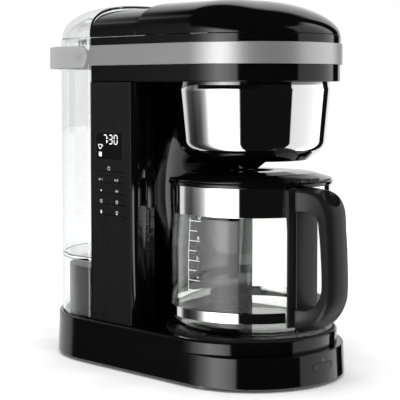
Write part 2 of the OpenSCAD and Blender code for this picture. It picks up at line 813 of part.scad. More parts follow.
// ---------------------------------------------------------------- basket housing and basket

// Outline (radius, height) of the basket housing, from the top of the wall to the bottom
function bowl_outline(inset) = [
    [bowl_r - inset, head_z + wall + 1], [bowl_r - inset, head_z],
    [bowl_r - bowl_taper - inset, bowl_z + chamfer_h + inset * 0.4],
    [bowl_r - bowl_taper - chamfer_w - inset * 0.4, bowl_z + inset]
];

module basket_housing() {
    inner = bowl_outline(wall);
    color("black") difference() {
        rotate_extrude() polygon(concat(
            [[outlet_r - 3, bowl_z]], [for (i = [3:-1:0]) bowl_outline(0)[i]],
            [[bowl_r + 5, head_z + wall + 1], [bowl_r + 5, head_z + wall + 3], [bowl_r - wall, head_z + wall + 3]],
            [for (i = [0:3]) inner[i]], [[outlet_r - 3, bowl_z + wall]]
        ));
    }
}

module bowl_shell() {
    out = bowl_outline(-shell_t);
    skin = bowl_outline(-fit);
    color("gainsboro") rotate([0, 0, -90 - shell_sweep / 2]) rotate_extrude(angle = shell_sweep)
        polygon([
            [skin[1][0], head_z - 0.4], [out[1][0], head_z - 0.4], out[2], out[3], skin[3], skin[2]
        ]);
}

module drip_outlet() {
    color("black") difference() {
        rotate_extrude() polygon([
            [stop_r + gap, outlet_z], [outlet_tip_r, outlet_z], [outlet_r, bowl_z - 1.2], [outlet_r + 3, bowl_z - 1.2],
            [outlet_r + 3, bowl_z - eps], [outlet_r - 3 - 0.1, bowl_z], [outlet_r - 3 - 0.1, bowl_z + wall],
            [9, bowl_z + wall], [9, outlet_z + 3], [stop_r + gap, outlet_z + 3]
        ]);
    }
}

module drip_stop() {
    color("dimgray") {
        translate([0, 0, outlet_z - 0.5]) cylinder(r = stop_r, h = 6.5);
        translate([0, 0, outlet_z + 3 + gap]) cylinder(r = 6, h = 2);
        translate([0, 0, outlet_z + 3 + gap]) cylinder(r = 2, h = 6.5);
    }
}

drip_spring_z = outlet_z + 5 + gap + 0.2;
drip_spring_h = drip_travel + 3;

module drip_spring() {
    color("silver") translate([0, 0, drip_spring_z]) coil(4.2, 0.45, drip_spring_h, 4);
}

module brew_basket() {
    rim_r = basket_rim_r;
    out_top = deck_hole_r - gap - 0.5;
    low_r = bowl_r - bowl_taper - wall - 2;
    floor_r = low_r - 14;
    floor_z = bowl_z + wall + 7;
    color("dimgray") difference() {
        rotate_extrude() polygon([
            [3.5, floor_z], [floor_r, floor_z], [low_r, floor_z + 10], [out_top - 1.2, head_z], [out_top, head_deck_z],
            [rim_r, head_deck_z], [rim_r, basket_top_z - 0.4], [out_top - basket_t, basket_top_z - 0.4],
            [out_top - basket_t - 1.2, head_z], [low_r - basket_t, floor_z + 11],
            [floor_r - 1, floor_z + basket_t], [3.5, floor_z + basket_t]
        ]);
        translate([0, 0, floor_z - 1]) cylinder(r = 3.5, h = 4, $fn = 32);
    }
}

module mesh_filter() {
    low_r = bowl_r - bowl_taper - wall - 2 - basket_t;
    floor_z = bowl_z + wall + 7 + basket_t + 1.5;
    color("goldenrod") rotate_extrude() polygon([
        [0, floor_z], [low_r - 18, floor_z], [low_r - 5, head_z], [low_r - 4, head_z + 24], [low_r - 1, head_z + 24],
        [low_r - 1, head_z + 25.5], [low_r - 5.2, head_z + 25.5], [low_r - 6.2, head_z], [low_r - 19, floor_z + 1.2],
        [0, floor_z + 1.2]
    ]);
}

// ---------------------------------------------------------------- tank

module tank_seat() {
    r = tower_r - tank_t - seat_inset;
    front = tank_front_y + tank_t + seat_inset;
    color("black") difference() {
        union() {
            difference() {
                tank_plan(r, front, deck_z, seat_z);
                tank_plan(r - wall, front + wall, deck_z - 1, seat_z - wall);
            }
            translate([hose_x, valve_y, socket_z - 14]) cylinder(r = neck_out_r + 4, h = neck_drop + 14 - eps);
        }
        translate([hose_x, valve_y, socket_z]) cylinder(r = neck_out_r + 1.6, h = neck_drop + 2);
        translate([hose_x, valve_y, socket_z - 16]) cylinder(r = hose_r + fit, h = 14);
        translate([hose_x, valve_y, socket_z - 3]) cylinder(r = hose_bore_r, h = 4);
    }
}

module seat_gasket() {
    color("dimgray") translate([hose_x, valve_y, socket_z]) ring(neck_out_r + 1.5, neck_in_r, 2.2);
}

module tank_shell() {
    r = tower_r;
    color("lightcyan", 0.4) difference() {
        union() {
            difference() {
                tank_plan(r, tank_front_y, tank_z, tank_top_z);
                tank_plan(r - tank_t, tank_front_y + tank_t, tank_floor_z + floor_t, tank_top_z + 1);
                tank_plan(r - tank_t, tank_front_y + tank_t, tank_z - 1, tank_floor_z);
            }
            translate([hose_x, valve_y, socket_z + 3])
                cylinder(r = neck_out_r, h = tank_floor_z - socket_z - 3 + eps);
            for (s = [-1, 1]) translate([s * (lid_lug_w + 3), lid_pin_y, lid_pin_z]) lid_lug();
        }
        translate([hose_x, valve_y, 0]) cylinder(r = neck_in_r, h = tank_floor_z + floor_t + 1);
        for (s = [-1, 1]) translate([s * (r - tank_t - 1), bail_y, bail_mid_z]) rotate([0, s * 90, 0])
            translate([0, 0, -1]) cylinder(r = bail_pin_r - 1, h = tank_t + 4, $fn = 48);
    }
}

// Lug behind the tank's rim that carries the lid pin
module lid_lug() {
    difference() {
        union() {
            rotate([0, 90, 0]) cylinder(r = 2.8, h = 4, center = true, $fn = 48);
            translate([-2, -5, -9]) cube([4, 5, 9]);
            translate([-2, -5, -9]) cube([4, 7, 7]);
        }
        rotate([0, 90, 0]) cylinder(r = lid_pin_r + eps, h = 6, center = true, $fn = 48);
    }
}

module tank_lid_pin() {
    color("silver") translate([0, lid_pin_y, lid_pin_z]) rotate([0, 90, 0])
        cylinder(r = lid_pin_r, h = 2 * lid_lug_w + 10, center = true, $fn = 48);
}

module tank_screen() {
    color("gray") translate([hose_x, valve_y, tank_floor_z + floor_t]) difference() {
        union() {
            ring(15, 13.5, 14);
            translate([0, 0, 13]) cylinder(r = 15, h = 1);
        }
        for (a = [0:30:330]) rotate([0, 0, a]) translate([10, -1.5, 2]) cube([8, 3, 9]);
    }
}

module tank_valve() {
    low = socket_z + 3.4;
    color("white") translate([hose_x, valve_y, 0]) {
        translate([0, 0, low]) cylinder(r = 2.2, h = tank_floor_z + floor_t + 2 - low, $fn = 48);
        translate([0, 0, tank_floor_z + floor_t + gap]) cylinder(r = neck_in_r + 2, h = 1.8);
    }
}

module valve_spring() {
    color("silver") translate([hose_x, valve_y, tank_floor_z + floor_t + gap + 1.8 + 0.1])
        coil(5, 0.5, valve_travel + 7, 4);
}

module tank_lid() {
    color("lightcyan", 0.4) {
        difference() {
            roof_shell(tank_front_y, plan_len + roof_r, roof_r, roof_h, roof_t);
            translate([-lid_lug_w - 5.5, lid_pin_y - 8, rim_z - 1]) cube([2 * lid_lug_w + 11, 20, 4.2]);
        }
        difference() {
            union() {
                translate([0, lid_pin_y, lid_pin_z]) rotate([0, 90, 0])
                    cylinder(r = 2.8, h = 2 * lid_lug_w, center = true, $fn = 48);
                translate([-lid_lug_w, lid_pin_y - 7.5, lid_pin_z + 0.4]) cube([2 * lid_lug_w, 7.5, 2.4]);
                translate([-lid_lug_w, lid_pin_y - 7.5, lid_pin_z + 2]) cube([2 * lid_lug_w, 3.5, 2.4]);
            }
            translate([0, lid_pin_y, lid_pin_z]) rotate([0, 90, 0])
                cylinder(r = lid_pin_r + fit, h = 2 * lid_lug_w + 2, center = true, $fn = 48);
        }
    }
}

// Bail: two arms on the tank's pivots and a round loop behind the tank
module bail_handle() {
    color("lightgray") difference() {
        union() {
            translate([0, 0, bail_z]) {
                translate([0, bail_end_y, 0]) rotate_extrude(angle = 180)
                    translate([bail_in_r, 0]) square([bail_t, bail_h]);
                for (s = [0, 1]) mirror([s, 0, 0]) translate([bail_in_r, bail_y, 0])
                    cube([bail_t, bail_end_y - bail_y, bail_h]);
            }
            for (s = [-1, 1]) intersection() {
                translate([s * (bail_in_r + bail_t / 2), bail_y, bail_mid_z]) rotate([0, 90, 0])
                    cylinder(r = bail_y - tank_front_y - 0.5, h = bail_t, center = true);
                translate([-through / 2, 0, bail_z]) cube([through, bail_y + 1, bail_h]);
            }
        }
        translate([0, bail_y, bail_mid_z]) rotate([0, 90, 0])
            cylinder(r = bail_pin_r + fit, h = through, center = true, $fn = 64);
    }
}

module bail_pins() {
    color("silver") for (s = [-1, 1]) translate([s * (tower_r - tank_t - 1), bail_y, bail_mid_z])
        rotate([0, s * 90, 0]) {
            cylinder(r = bail_pin_r - 1 - eps, h = tank_t + 1.1, $fn = 48);
            translate([0, 0, tank_t + 1]) cylinder(r = bail_pin_r, h = 0.6 + bail_t + 0.1, $fn = 64);
        }
}

// ---------------------------------------------------------------- carafe

// Outline of the glass, inset from its outer face: round foot, belly, slight shoulder, straight neck
function glass_outline(inset) = let (r = foot_round - inset, mid = glass_r - foot_round) concat(
    [for (a = [-90:15:0]) [mid + r * cos(a), glass_z + foot_round + r * sin(a)]],
    [[glass_r - inset, glass_z + glass_h * 0.55], [neck_r + 0.6 - inset, carafe_band_z - 3],
     [neck_r - inset, carafe_band_z], [neck_r - inset, rim_of_glass_z]]
);

module carafe_glass() {
    inner = glass_outline(glass_t);
    color("white", 0.3) rotate_extrude($fn = 128) polygon(concat(
        [[0, glass_z]], glass_outline(0), [for (i = [len(inner) - 1:-1:0]) inner[i]],
        [[0, glass_z + glass_t]]
    ));
}

module carafe_band() {
    color("gainsboro") translate([0, 0, carafe_band_z]) ring(neck_r + carafe_band_t, neck_r + eps, carafe_band_h);
}

// Ring round the foot, open where the handle's bracket runs
module carafe_base_band() {
    color("gainsboro") rotate([0, 0, base_band_gap - 90 - carafe_turn]) rotate_extrude(angle = 360 - 2 * base_band_gap)
        translate([glass_r + eps, base_band_z]) square([carafe_band_t - eps, base_band_h]);
}

module carafe_collar() {
    color("black") rotate_extrude() polygon([
        [neck_r - glass_t - 2, collar_top_z - 1], [neck_r - glass_t - 0.1, rim_of_glass_z - 6],
        [neck_r - glass_t - 0.1, rim_of_glass_z], [neck_r + 0.1, rim_of_glass_z],
        [neck_r + 0.1, rim_of_glass_z - 0.8], [neck_r + 2.4, rim_of_glass_z - 0.8],
        [neck_r + 2.6, collar_top_z - 1], [neck_r + 1.6, collar_top_z]
    ]);
}

module carafe_lid() {
    z0 = collar_top_z + 0.3;
    color("black") {
        difference() {
            rotate_extrude() polygon([
                [5, lid_top_z - 5], [20, lid_top_z - 5], [neck_r - 6, z0 - 2.6], [neck_r - glass_t - 3, z0 - 4],
                [neck_r - glass_t - 2.4, z0 - 4], [neck_r - glass_t - 2.4, z0], [neck_r + 1.8, z0], [neck_r + 1.6, z0 + 1.4],
                [neck_r - 16, lid_top_z - 1.6], [40, lid_top_z], [24, lid_top_z], [16, lid_top_z - 2.5], [5, lid_top_z - 2.8]
            ]);
            rotate([0, 0, 90 - carafe_turn]) translate([neck_r - 14, -12, z0 - 8]) cube([30, 24, 6.2]);
        }
        rotate([0, 0, -90 - carafe_turn]) hull() {
            translate([neck_r - 22, -tab_w / 2, z0 + 1]) cube([10, tab_w, lid_top_z - 1.5 - z0 - 1]);
            translate([tab_end - 5, -tab_w / 2 + 5, z0 + 0.4]) cube([5, tab_w - 10, 4]);
            translate([tab_end - 8, -tab_w / 2, z0 + 0.4]) cube([3, tab_w, 4]);
        }
    }
}

// Grip's outer edge from top to foot, as shares of its reach past the strap and of its height
grip_outer_line = [
    [0, 1], [0.08, 1], [0.188, 1], [0.303, 0.999], [0.417, 0.996], [0.516, 0.992], [0.604, 0.985],
    [0.681, 0.973], [0.75, 0.955], [0.813, 0.93], [0.865, 0.899], [0.9, 0.864], [0.923, 0.825], [0.936, 0.785],
    [0.944, 0.743], [0.957, 0.696], [0.969, 0.646], [0.979, 0.591], [0.988, 0.534], [0.995, 0.476], [1, 0.422],
    [1, 0.379], [1, 0.34], [0.994, 0.297], [0.979, 0.257], [0.948, 0.224], [0.906, 0.194], [0.854, 0.163],
    [0.792, 0.134], [0.719, 0.107], [0.635, 0.082], [0.541, 0.062], [0.438, 0.046], [0.324, 0.031], [0.208, 0.019],
    [0.09, 0.008], [0, 0]
];
// Grip's inner edge, in the same shares
grip_inner_line = [
    [0, 0.832], [0.073, 0.834], [0.167, 0.836], [0.253, 0.836], [0.333, 0.836], [0.399, 0.835], [0.458, 0.832],
    [0.513, 0.828], [0.562, 0.821], [0.603, 0.811], [0.635, 0.799], [0.654, 0.784], [0.667, 0.765], [0.678, 0.742],
    [0.688, 0.713], [0.703, 0.679], [0.719, 0.638], [0.733, 0.588], [0.746, 0.534], [0.758, 0.479], [0.767, 0.429],
    [0.771, 0.394], [0.771, 0.367], [0.769, 0.343], [0.76, 0.321], [0.738, 0.298], [0.708, 0.276], [0.67, 0.255],
    [0.625, 0.235], [0.572, 0.217], [0.51, 0.201], [0.435, 0.188], [0.354, 0.178], [0.273, 0.172], [0.188, 0.168],
    [0.084, 0.165], [0, 0.164]
];

// Side view of the grip between two edge lines
function grip_side(line, low, top) = [
    for (share = line) [strap_r - grip_root + (grip_out - strap_r + grip_root) * share[0], low + (top - low) * share[1]]
];

module carafe_handle() {
    top = rim_of_glass_z + grip_over;
    low = glass_z + grip_clear;
    color("dimgray") rotate([0, 0, -90 - carafe_turn]) {
        union() {
            rotate([90, 0, 0]) linear_extrude(grip_w, center = true) difference() {
                polygon(grip_side(grip_outer_line, low, top));
                polygon(concat(
                    [[0, low + (top - low) * grip_inner_line[0][1]]], grip_side(grip_inner_line, low, top),
                    [[0, low + (top - low) * grip_inner_line[len(grip_inner_line) - 1][1]]]
                ));
            }
            rotate([0, 0, -bracket_turn]) rotate_extrude(angle = 2 * bracket_turn) polygon([
                [glass_r + 0.15, low + 4], [glass_r + 2, low + 4], [glass_r + 2.6, low + 10],
                [glass_r + 2.6, carafe_band_z - 8], [glass_r + 2.2, top - 3], [neck_r + carafe_band_t + 0.1, top - 3],
                [neck_r + carafe_band_t + 0.1, carafe_band_z - 0.5], [glass_r + 0.15, carafe_band_z - 12]
            ]);
            rotate([0, 0, -strap_turn]) rotate_extrude(angle = 2 * strap_turn) translate([glass_r + 2, low + 2])
                square([strap_r - glass_r - 2 + 0.6, top - low - 3]);
        }
    }
}

// ---------------------------------------------------------------- build

base_housing();
base_cover();
rubber_feet();
base_screws();
warming_plate();
plate_seal();
heating_element();
thermostats();
power_board();
cord_gland();
front_button();
tower_housing();
control_panel();
display_window();
display_module();
control_board();
key_power();
key_2_left();
key_2_right();
key_3_left();
key_3_right();
key_4_left();
key_4_right();
key_5_left();
key_5_right();
inlet_hose();
riser_hose();
check_valve();
hose_clamps();
head_housing();
head_band();
fixed_roof();
hinge_pin();
brew_lid();
shower_head();
lid_gasket();
basket_housing();
bowl_shell();
drip_outlet();
drip_stop();
drip_spring();
brew_basket();
mesh_filter();
tank_seat();
seat_gasket();
tank_shell();
tank_screen();
tank_valve();
valve_spring();
tank_lid();
tank_lid_pin();
bail_handle();
bail_pins();
carafe_glass();
carafe_band();
carafe_base_band();
carafe_collar();
carafe_lid();
carafe_handle();
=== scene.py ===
"""Looks of a drip coffee maker, built round its fixed frame.

All sizes are metres in the frame's own axes: +Z up, the front towards -Y, the origin on the
table under the brew axis. Heights and radii are read from the frame's nodes; what a node does
not say, such as the radius of an edge, is a field of the sub-assembly that uses it.
"""

import logging
import math
from dataclasses import dataclass
from enum import Enum
from typing import Callable, Iterable, Sequence, Union

import bmesh
import bpy
from mathutils import Matrix, Vector
from mathutils.geometry import tessellate_polygon


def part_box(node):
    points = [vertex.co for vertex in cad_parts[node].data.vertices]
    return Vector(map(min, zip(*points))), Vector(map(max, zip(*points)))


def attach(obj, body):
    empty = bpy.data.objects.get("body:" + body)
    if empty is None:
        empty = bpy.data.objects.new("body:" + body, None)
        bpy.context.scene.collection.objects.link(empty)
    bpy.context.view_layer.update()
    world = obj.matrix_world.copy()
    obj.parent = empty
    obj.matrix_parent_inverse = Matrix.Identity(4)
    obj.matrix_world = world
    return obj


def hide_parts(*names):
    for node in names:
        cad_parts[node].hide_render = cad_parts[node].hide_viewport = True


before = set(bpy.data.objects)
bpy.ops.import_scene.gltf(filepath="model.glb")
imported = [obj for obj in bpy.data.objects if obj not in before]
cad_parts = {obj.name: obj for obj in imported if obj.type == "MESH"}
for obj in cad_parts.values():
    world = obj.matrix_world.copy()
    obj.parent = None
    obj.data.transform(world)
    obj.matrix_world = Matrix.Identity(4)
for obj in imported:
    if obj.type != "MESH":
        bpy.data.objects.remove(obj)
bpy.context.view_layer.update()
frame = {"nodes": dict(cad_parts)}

LOG = logging.getLogger("coffee_maker")
MM = 0.001
WELD = 0.000004
ARC_STEPS = 48
CORNER_STEPS = 6
LATHE_STEPS = 144

Loop = list[Vector]
Patch = tuple[list[Vector], list[tuple[int, ...]]]


# ---------------------------------------------------------------- shader graph


class Value:
    """A number that comes out of a node; arithmetic on it adds Math nodes."""

    def __init__(self, graph: "Graph", socket: bpy.types.NodeSocket) -> None:
        """Wraps one output socket of a graph."""
        self.graph = graph
        self.socket = socket

    def __add__(self, other: "Number") -> "Value":
        """The sum."""
        return self.graph.math("ADD", self, other)

    def __radd__(self, other: float) -> "Value":
        """The sum, with the number first."""
        return self.graph.math("ADD", other, self)

    def __sub__(self, other: "Number") -> "Value":
        """The difference."""
        return self.graph.math("SUBTRACT", self, other)

    def __rsub__(self, other: float) -> "Value":
        """The difference, with the number first."""
        return self.graph.math("SUBTRACT", other, self)

    def __mul__(self, other: "Number") -> "Value":
        """The product."""
        return self.graph.math("MULTIPLY", self, other)

    def __rmul__(self, other: float) -> "Value":
        """The product, with the number first."""
        return self.graph.math("MULTIPLY", other, self)

    def __truediv__(self, other: "Number") -> "Value":
        """The quotient."""
        return self.graph.math("DIVIDE", self, other)

    def __gt__(self, other: "Number") -> "Value":
        """1 where this is greater, else 0."""
        return self.graph.math("GREATER_THAN", self, other)

    def __pow__(self, other: "Number") -> "Value":
        """The power."""
        return self.graph.math("POWER", self, other)


Number = Union[Value, float]


class Graph:
    """The node tree of one material or of the world."""

    def __init__(self, owner: Union[bpy.types.Material, bpy.types.World]) -> None:
        """Clears the owner's tree and starts an empty one."""
        owner.use_nodes = True
        self.tree = owner.node_tree
        self.tree.nodes.clear()

    def add(self, kind: str, settings: Union[dict, None] = None, **inputs: object) -> bpy.types.Node:
        """Adds a node.

        Args:
            kind: The node's type, without its Shader prefix.
            settings: The node's own properties; "stops" holds a ramp's (place, grey) pairs.
            inputs: A value or a link for each socket, with _ for a space in its name.

        Returns:
            The node.
        """
        node = self.tree.nodes.new("ShaderNode" + kind)
        for name, value in (settings or {}).items():
            if name == "stops":
                self._set_stops(node.color_ramp, value)
            else:
                setattr(node, name, value)
        for name, value in inputs.items():
            self._feed(node.inputs[name.replace("_", " ")], value)
        return node

    def math(self, operation: str, *terms: Number) -> Value:
        """Adds a Math node on up to three terms."""
        node = self.tree.nodes.new("ShaderNodeMath")
        node.operation = operation
        for socket, term in zip(node.inputs, terms):
            self._feed(socket, term)
        return Value(self, node.outputs[0])

    def value(self, node: bpy.types.Node, output: str) -> Value:
        """One of a node's outputs as a number."""
        return Value(self, node.outputs[output])

    def noise(self, scale: float, detail: float = 3.0, stretch: Sequence[float] = (1, 1, 1)) -> Value:
        """Noise in the frame's metres.

        Args:
            scale: Cells in one metre.
            detail: Octaves of the noise.
            stretch: Factor on each axis; a large one packs the pattern into thin lines.

        Returns:
            The noise, from 0 to 1.
        """
        place = self.add("TexCoord")
        mapped = self.add("Mapping", Vector=place.outputs["Object"], Scale=tuple(stretch))
        made = self.add("TexNoise", Vector=mapped.outputs["Vector"], Scale=scale, Detail=detail)
        return self.value(made, "Fac")

    def ramp(self, factor: Value, *stops: tuple[float, float]) -> Value:
        """A grey ramp over a factor, from (place, grey) pairs."""
        made = self.add("ValToRGB", {"stops": stops}, Fac=factor)
        return self.value(made, "Color")

    def blend(self, factor: Number, low: Sequence[float], high: Sequence[float]) -> bpy.types.NodeSocket:
        """Mixes two colours, low where the factor is 0 and high where it is 1."""
        made = self.add("Mix", {"data_type": "RGBA"})
        self._feed(made.inputs[0], factor)
        self._feed(made.inputs[6], (*low, 1.0))
        self._feed(made.inputs[7], (*high, 1.0))
        return made.outputs[2]

    def bump(self, height: Value, depth: float) -> bpy.types.NodeSocket:
        """A normal from a height that runs from 0 to depth metres."""
        made = self.add("Bump", Height=height, Distance=depth, Strength=1.0)
        return made.outputs["Normal"]

    def _feed(self, socket: bpy.types.NodeSocket, value: object) -> None:
        """Links a socket, or sets its value."""
        if isinstance(value, Value):
            self.tree.links.new(value.socket, socket)
        elif isinstance(value, bpy.types.NodeSocket):
            self.tree.links.new(value, socket)
        else:
            socket.default_value = value

    @staticmethod
    def _set_stops(ramp: bpy.types.ColorRamp, stops: Sequence[tuple[float, float]]) -> None:
        """Writes a ramp's stops, which are (place, grey) pairs in rising order."""
        while len(ramp.elements) > 1:
            ramp.elements.remove(ramp.elements[-1])
        for index, (place, grey) in enumerate(stops):
            stop = ramp.elements[0] if index == 0 else ramp.elements.new(place)
            stop.position = place
            stop.color = (grey, grey, grey, 1.0)


# ---------------------------------------------------------------- finishes


@dataclass(frozen=True)
class Finish:
    """A surface finish: one material, and the record's slot that it stands for."""

    name: str
    slot: str

    def material(self) -> bpy.types.Material:
        """The finish's material, made the first time that it is asked for."""
        found = bpy.data.materials.get("finish_" + self.name)
        if found is None:
            found = bpy.data.materials.new("finish_" + self.name)
            graph = Graph(found)
            surface = self.surface(graph)
            graph.add("OutputMaterial", Surface=surface)
        return found

    def surface(self, graph: Graph) -> bpy.types.NodeSocket:
        """Builds the shader; each kind of finish has its own."""
        raise NotImplementedError


@dataclass(frozen=True)
class MouldedPlastic(Finish):
    """Injection-moulded plastic, from high gloss to a fine spark-eroded grain.

    Attributes:
        colour: The resin's colour.
        roughness: Mean roughness of the skin.
        smudge: How much the roughness wanders from place to place.
        grain: Grain cells in a metre.
        depth: Height of the grain in metres.
        coat: Weight of a clear lacquer.
        shine: Strength of its reflections, 0.5 for plain resin.
    """

    colour: tuple[float, float, float] = (0.0016, 0.0016, 0.0016)
    roughness: float = 0.1
    smudge: float = 0.06
    grain: float = 260.0
    depth: float = 0.000004
    coat: float = 0.0
    shine: float = 0.5

    def surface(self, graph: Graph) -> bpy.types.NodeSocket:
        """Resin with slow tone changes, wiping marks in its gloss and a moulded grain."""
        cloud = graph.noise(18.0, 4.0)
        wipe = graph.noise(55.0, 5.0, (1.0, 1.0, 0.25))
        grain = graph.noise(self.grain, 2.0)
        pale = tuple(c * 1.35 + 0.0004 for c in self.colour)
        shader = graph.add(
            "BsdfPrincipled",
            Base_Color=graph.blend(cloud, self.colour, pale),
            Roughness=self.roughness + (wipe - 0.45) * self.smudge + (grain - 0.5) * self.smudge * 0.3,
            Normal=graph.bump(grain, self.depth),
            Specular_IOR_Level=self.shine,
            Coat_Weight=self.coat,
            Coat_Roughness=0.03,
        )
        return shader.outputs["BSDF"]


@dataclass(frozen=True)
class BrushedMetal(Finish):
    """Steel or aluminium with fine parallel lines.

    Attributes:
        colour: Reflected colour.
        roughness: Mean roughness.
        spread: Change of the roughness from line to line.
        lines: Stretch of the pattern on each axis, large across the lines.
        depth: Height of the lines in metres.
        metal: Share of bare metal; the rest scatters light like a fine blasted skin.
    """

    colour: tuple[float, float, float] = (0.6, 0.6, 0.6)
    roughness: float = 0.25
    spread: float = 0.15
    lines: tuple[float, float, float] = (1.0, 1.0, 90.0)
    depth: float = 0.000003
    metal: float = 1.0

    def surface(self, graph: Graph) -> bpy.types.NodeSocket:
        """Metal whose lines vary its tone, its roughness and its relief."""
        line = graph.noise(28.0, 6.0, self.lines)
        cloud = graph.noise(22.0, 3.0)
        dark = tuple(c * 0.86 for c in self.colour)
        shader = graph.add(
            "BsdfPrincipled",
            Base_Color=graph.blend(line * 0.7 + cloud * 0.3, dark, self.colour),
            Roughness=self.roughness + (line - 0.5) * self.spread + (cloud - 0.5) * self.spread * 0.4,
            Normal=graph.bump(line, self.depth),
            Metallic=self.metal,
        )
        return shader.outputs["BSDF"]


@dataclass(frozen=True)
class ClearMaterial(Finish):
    """Clear glass or plastic.

    Attributes:
        tint: Colour that it gives to what is behind it.
        refraction: Index of refraction.
        haze: Mean roughness.
        ripple: Depth in metres of the slow waves in its skin.
        clarity: Share of the light that passes instead of being scattered.
    """

    tint: tuple[float, float, float] = (0.985, 0.99, 0.985)
    refraction: float = 1.47
    haze: float = 0.0
    ripple: float = 0.00001
    clarity: float = 1.0

    def surface(self, graph: Graph) -> bpy.types.NodeSocket:
        """A refracting body with faint waves, and finger marks that haze it in places."""
        wave = graph.noise(26.0, 1.0)
        mark = graph.ramp(graph.noise(60.0, 5.0), (0.55, 0.0), (0.8, 1.0))
        shader = graph.add(
            "BsdfPrincipled",
            Base_Color=graph.blend(mark, self.tint, tuple(c * 0.97 for c in self.tint)),
            Roughness=self.haze + mark * 0.03,
            Normal=graph.bump(wave, self.ripple),
            Transmission_Weight=self.clarity,
            IOR=self.refraction,
        )
        return shader.outputs["BSDF"]


@dataclass(frozen=True)
class CircuitBoard(Finish):
    """Green board with copper tracks under its lacquer."""

    def surface(self, graph: Graph) -> bpy.types.NodeSocket:
        """Board green with straight tracks at two spacings."""
        place = graph.add("TexCoord")
        tracks = graph.add(
            "TexBrick", {"offset": 0.35}, Vector=place.outputs["Object"], Scale=120.0,
            Color1=(0.0, 0.0, 0.0, 1.0), Color2=(0.25, 0.25, 0.25, 1.0), Mortar=(1.0, 1.0, 1.0, 1.0),
            Mortar_Size=0.035,
        )
        track = graph.value(tracks, "Color")
        shader = graph.add(
            "BsdfPrincipled",
            Base_Color=graph.blend(track, (0.004, 0.05, 0.016), (0.02, 0.16, 0.05)),
            Roughness=0.28 + graph.noise(300.0) * 0.12,
            Normal=graph.bump(track, 0.00003),
        )
        return shader.outputs["BSDF"]


@dataclass(frozen=True)
class WovenMesh(Finish):
    """Fine metal cloth, gold plated."""

    def surface(self, graph: Graph) -> bpy.types.NodeSocket:
        """Crossed wires drawn by two wave patterns, with painted shade darkening the colour between the
        wires.
        """
        place = graph.add("TexCoord")
        flat = graph.add("Mapping", Vector=place.outputs["Object"], Scale=(1.0, 1.0, 1.0))
        waves = [
            graph.value(
                graph.add("TexWave", {"bands_direction": way}, Vector=flat.outputs["Vector"], Scale=420.0),
                "Fac",
            )
            for way in ("X", "Z")
        ]
        wire = waves[0] * waves[1]
        shader = graph.add(
            "BsdfPrincipled",
            # The gold is painted darker between the wires: painted shade in the weave's gaps.
            Base_Color=graph.blend(wire, (0.16, 0.1, 0.03), (0.85, 0.6, 0.22)),
            Roughness=0.45 - wire * 0.2,
            Normal=graph.bump(wire, 0.00012),
            Metallic=1.0,
        )
        return shader.outputs["BSDF"]


@dataclass(frozen=True)
class PrintedInk(Finish):
    """Pale ink, or a lit segment behind a dark window.

    Attributes:
        colour: Colour of the ink.
        glow: Strength of its own light; on printed ink, which is no lamp, it is a painted glow.
    """

    colour: tuple[float, float, float] = (0.8, 0.8, 0.8)
    glow: float = 0.0

    def surface(self, graph: Graph) -> bpy.types.NodeSocket:
        """Ink with a slightly uneven film."""
        film = graph.noise(1500.0, 3.0)
        thin = tuple(c * 0.85 for c in self.colour)
        tone = graph.blend(film, thin, self.colour)
        shader = graph.add(
            "BsdfPrincipled",
            Base_Color=tone,
            Roughness=0.4 + film * 0.2,
            Emission_Color=tone,
            Emission_Strength=self.glow,
        )
        return shader.outputs["BSDF"]


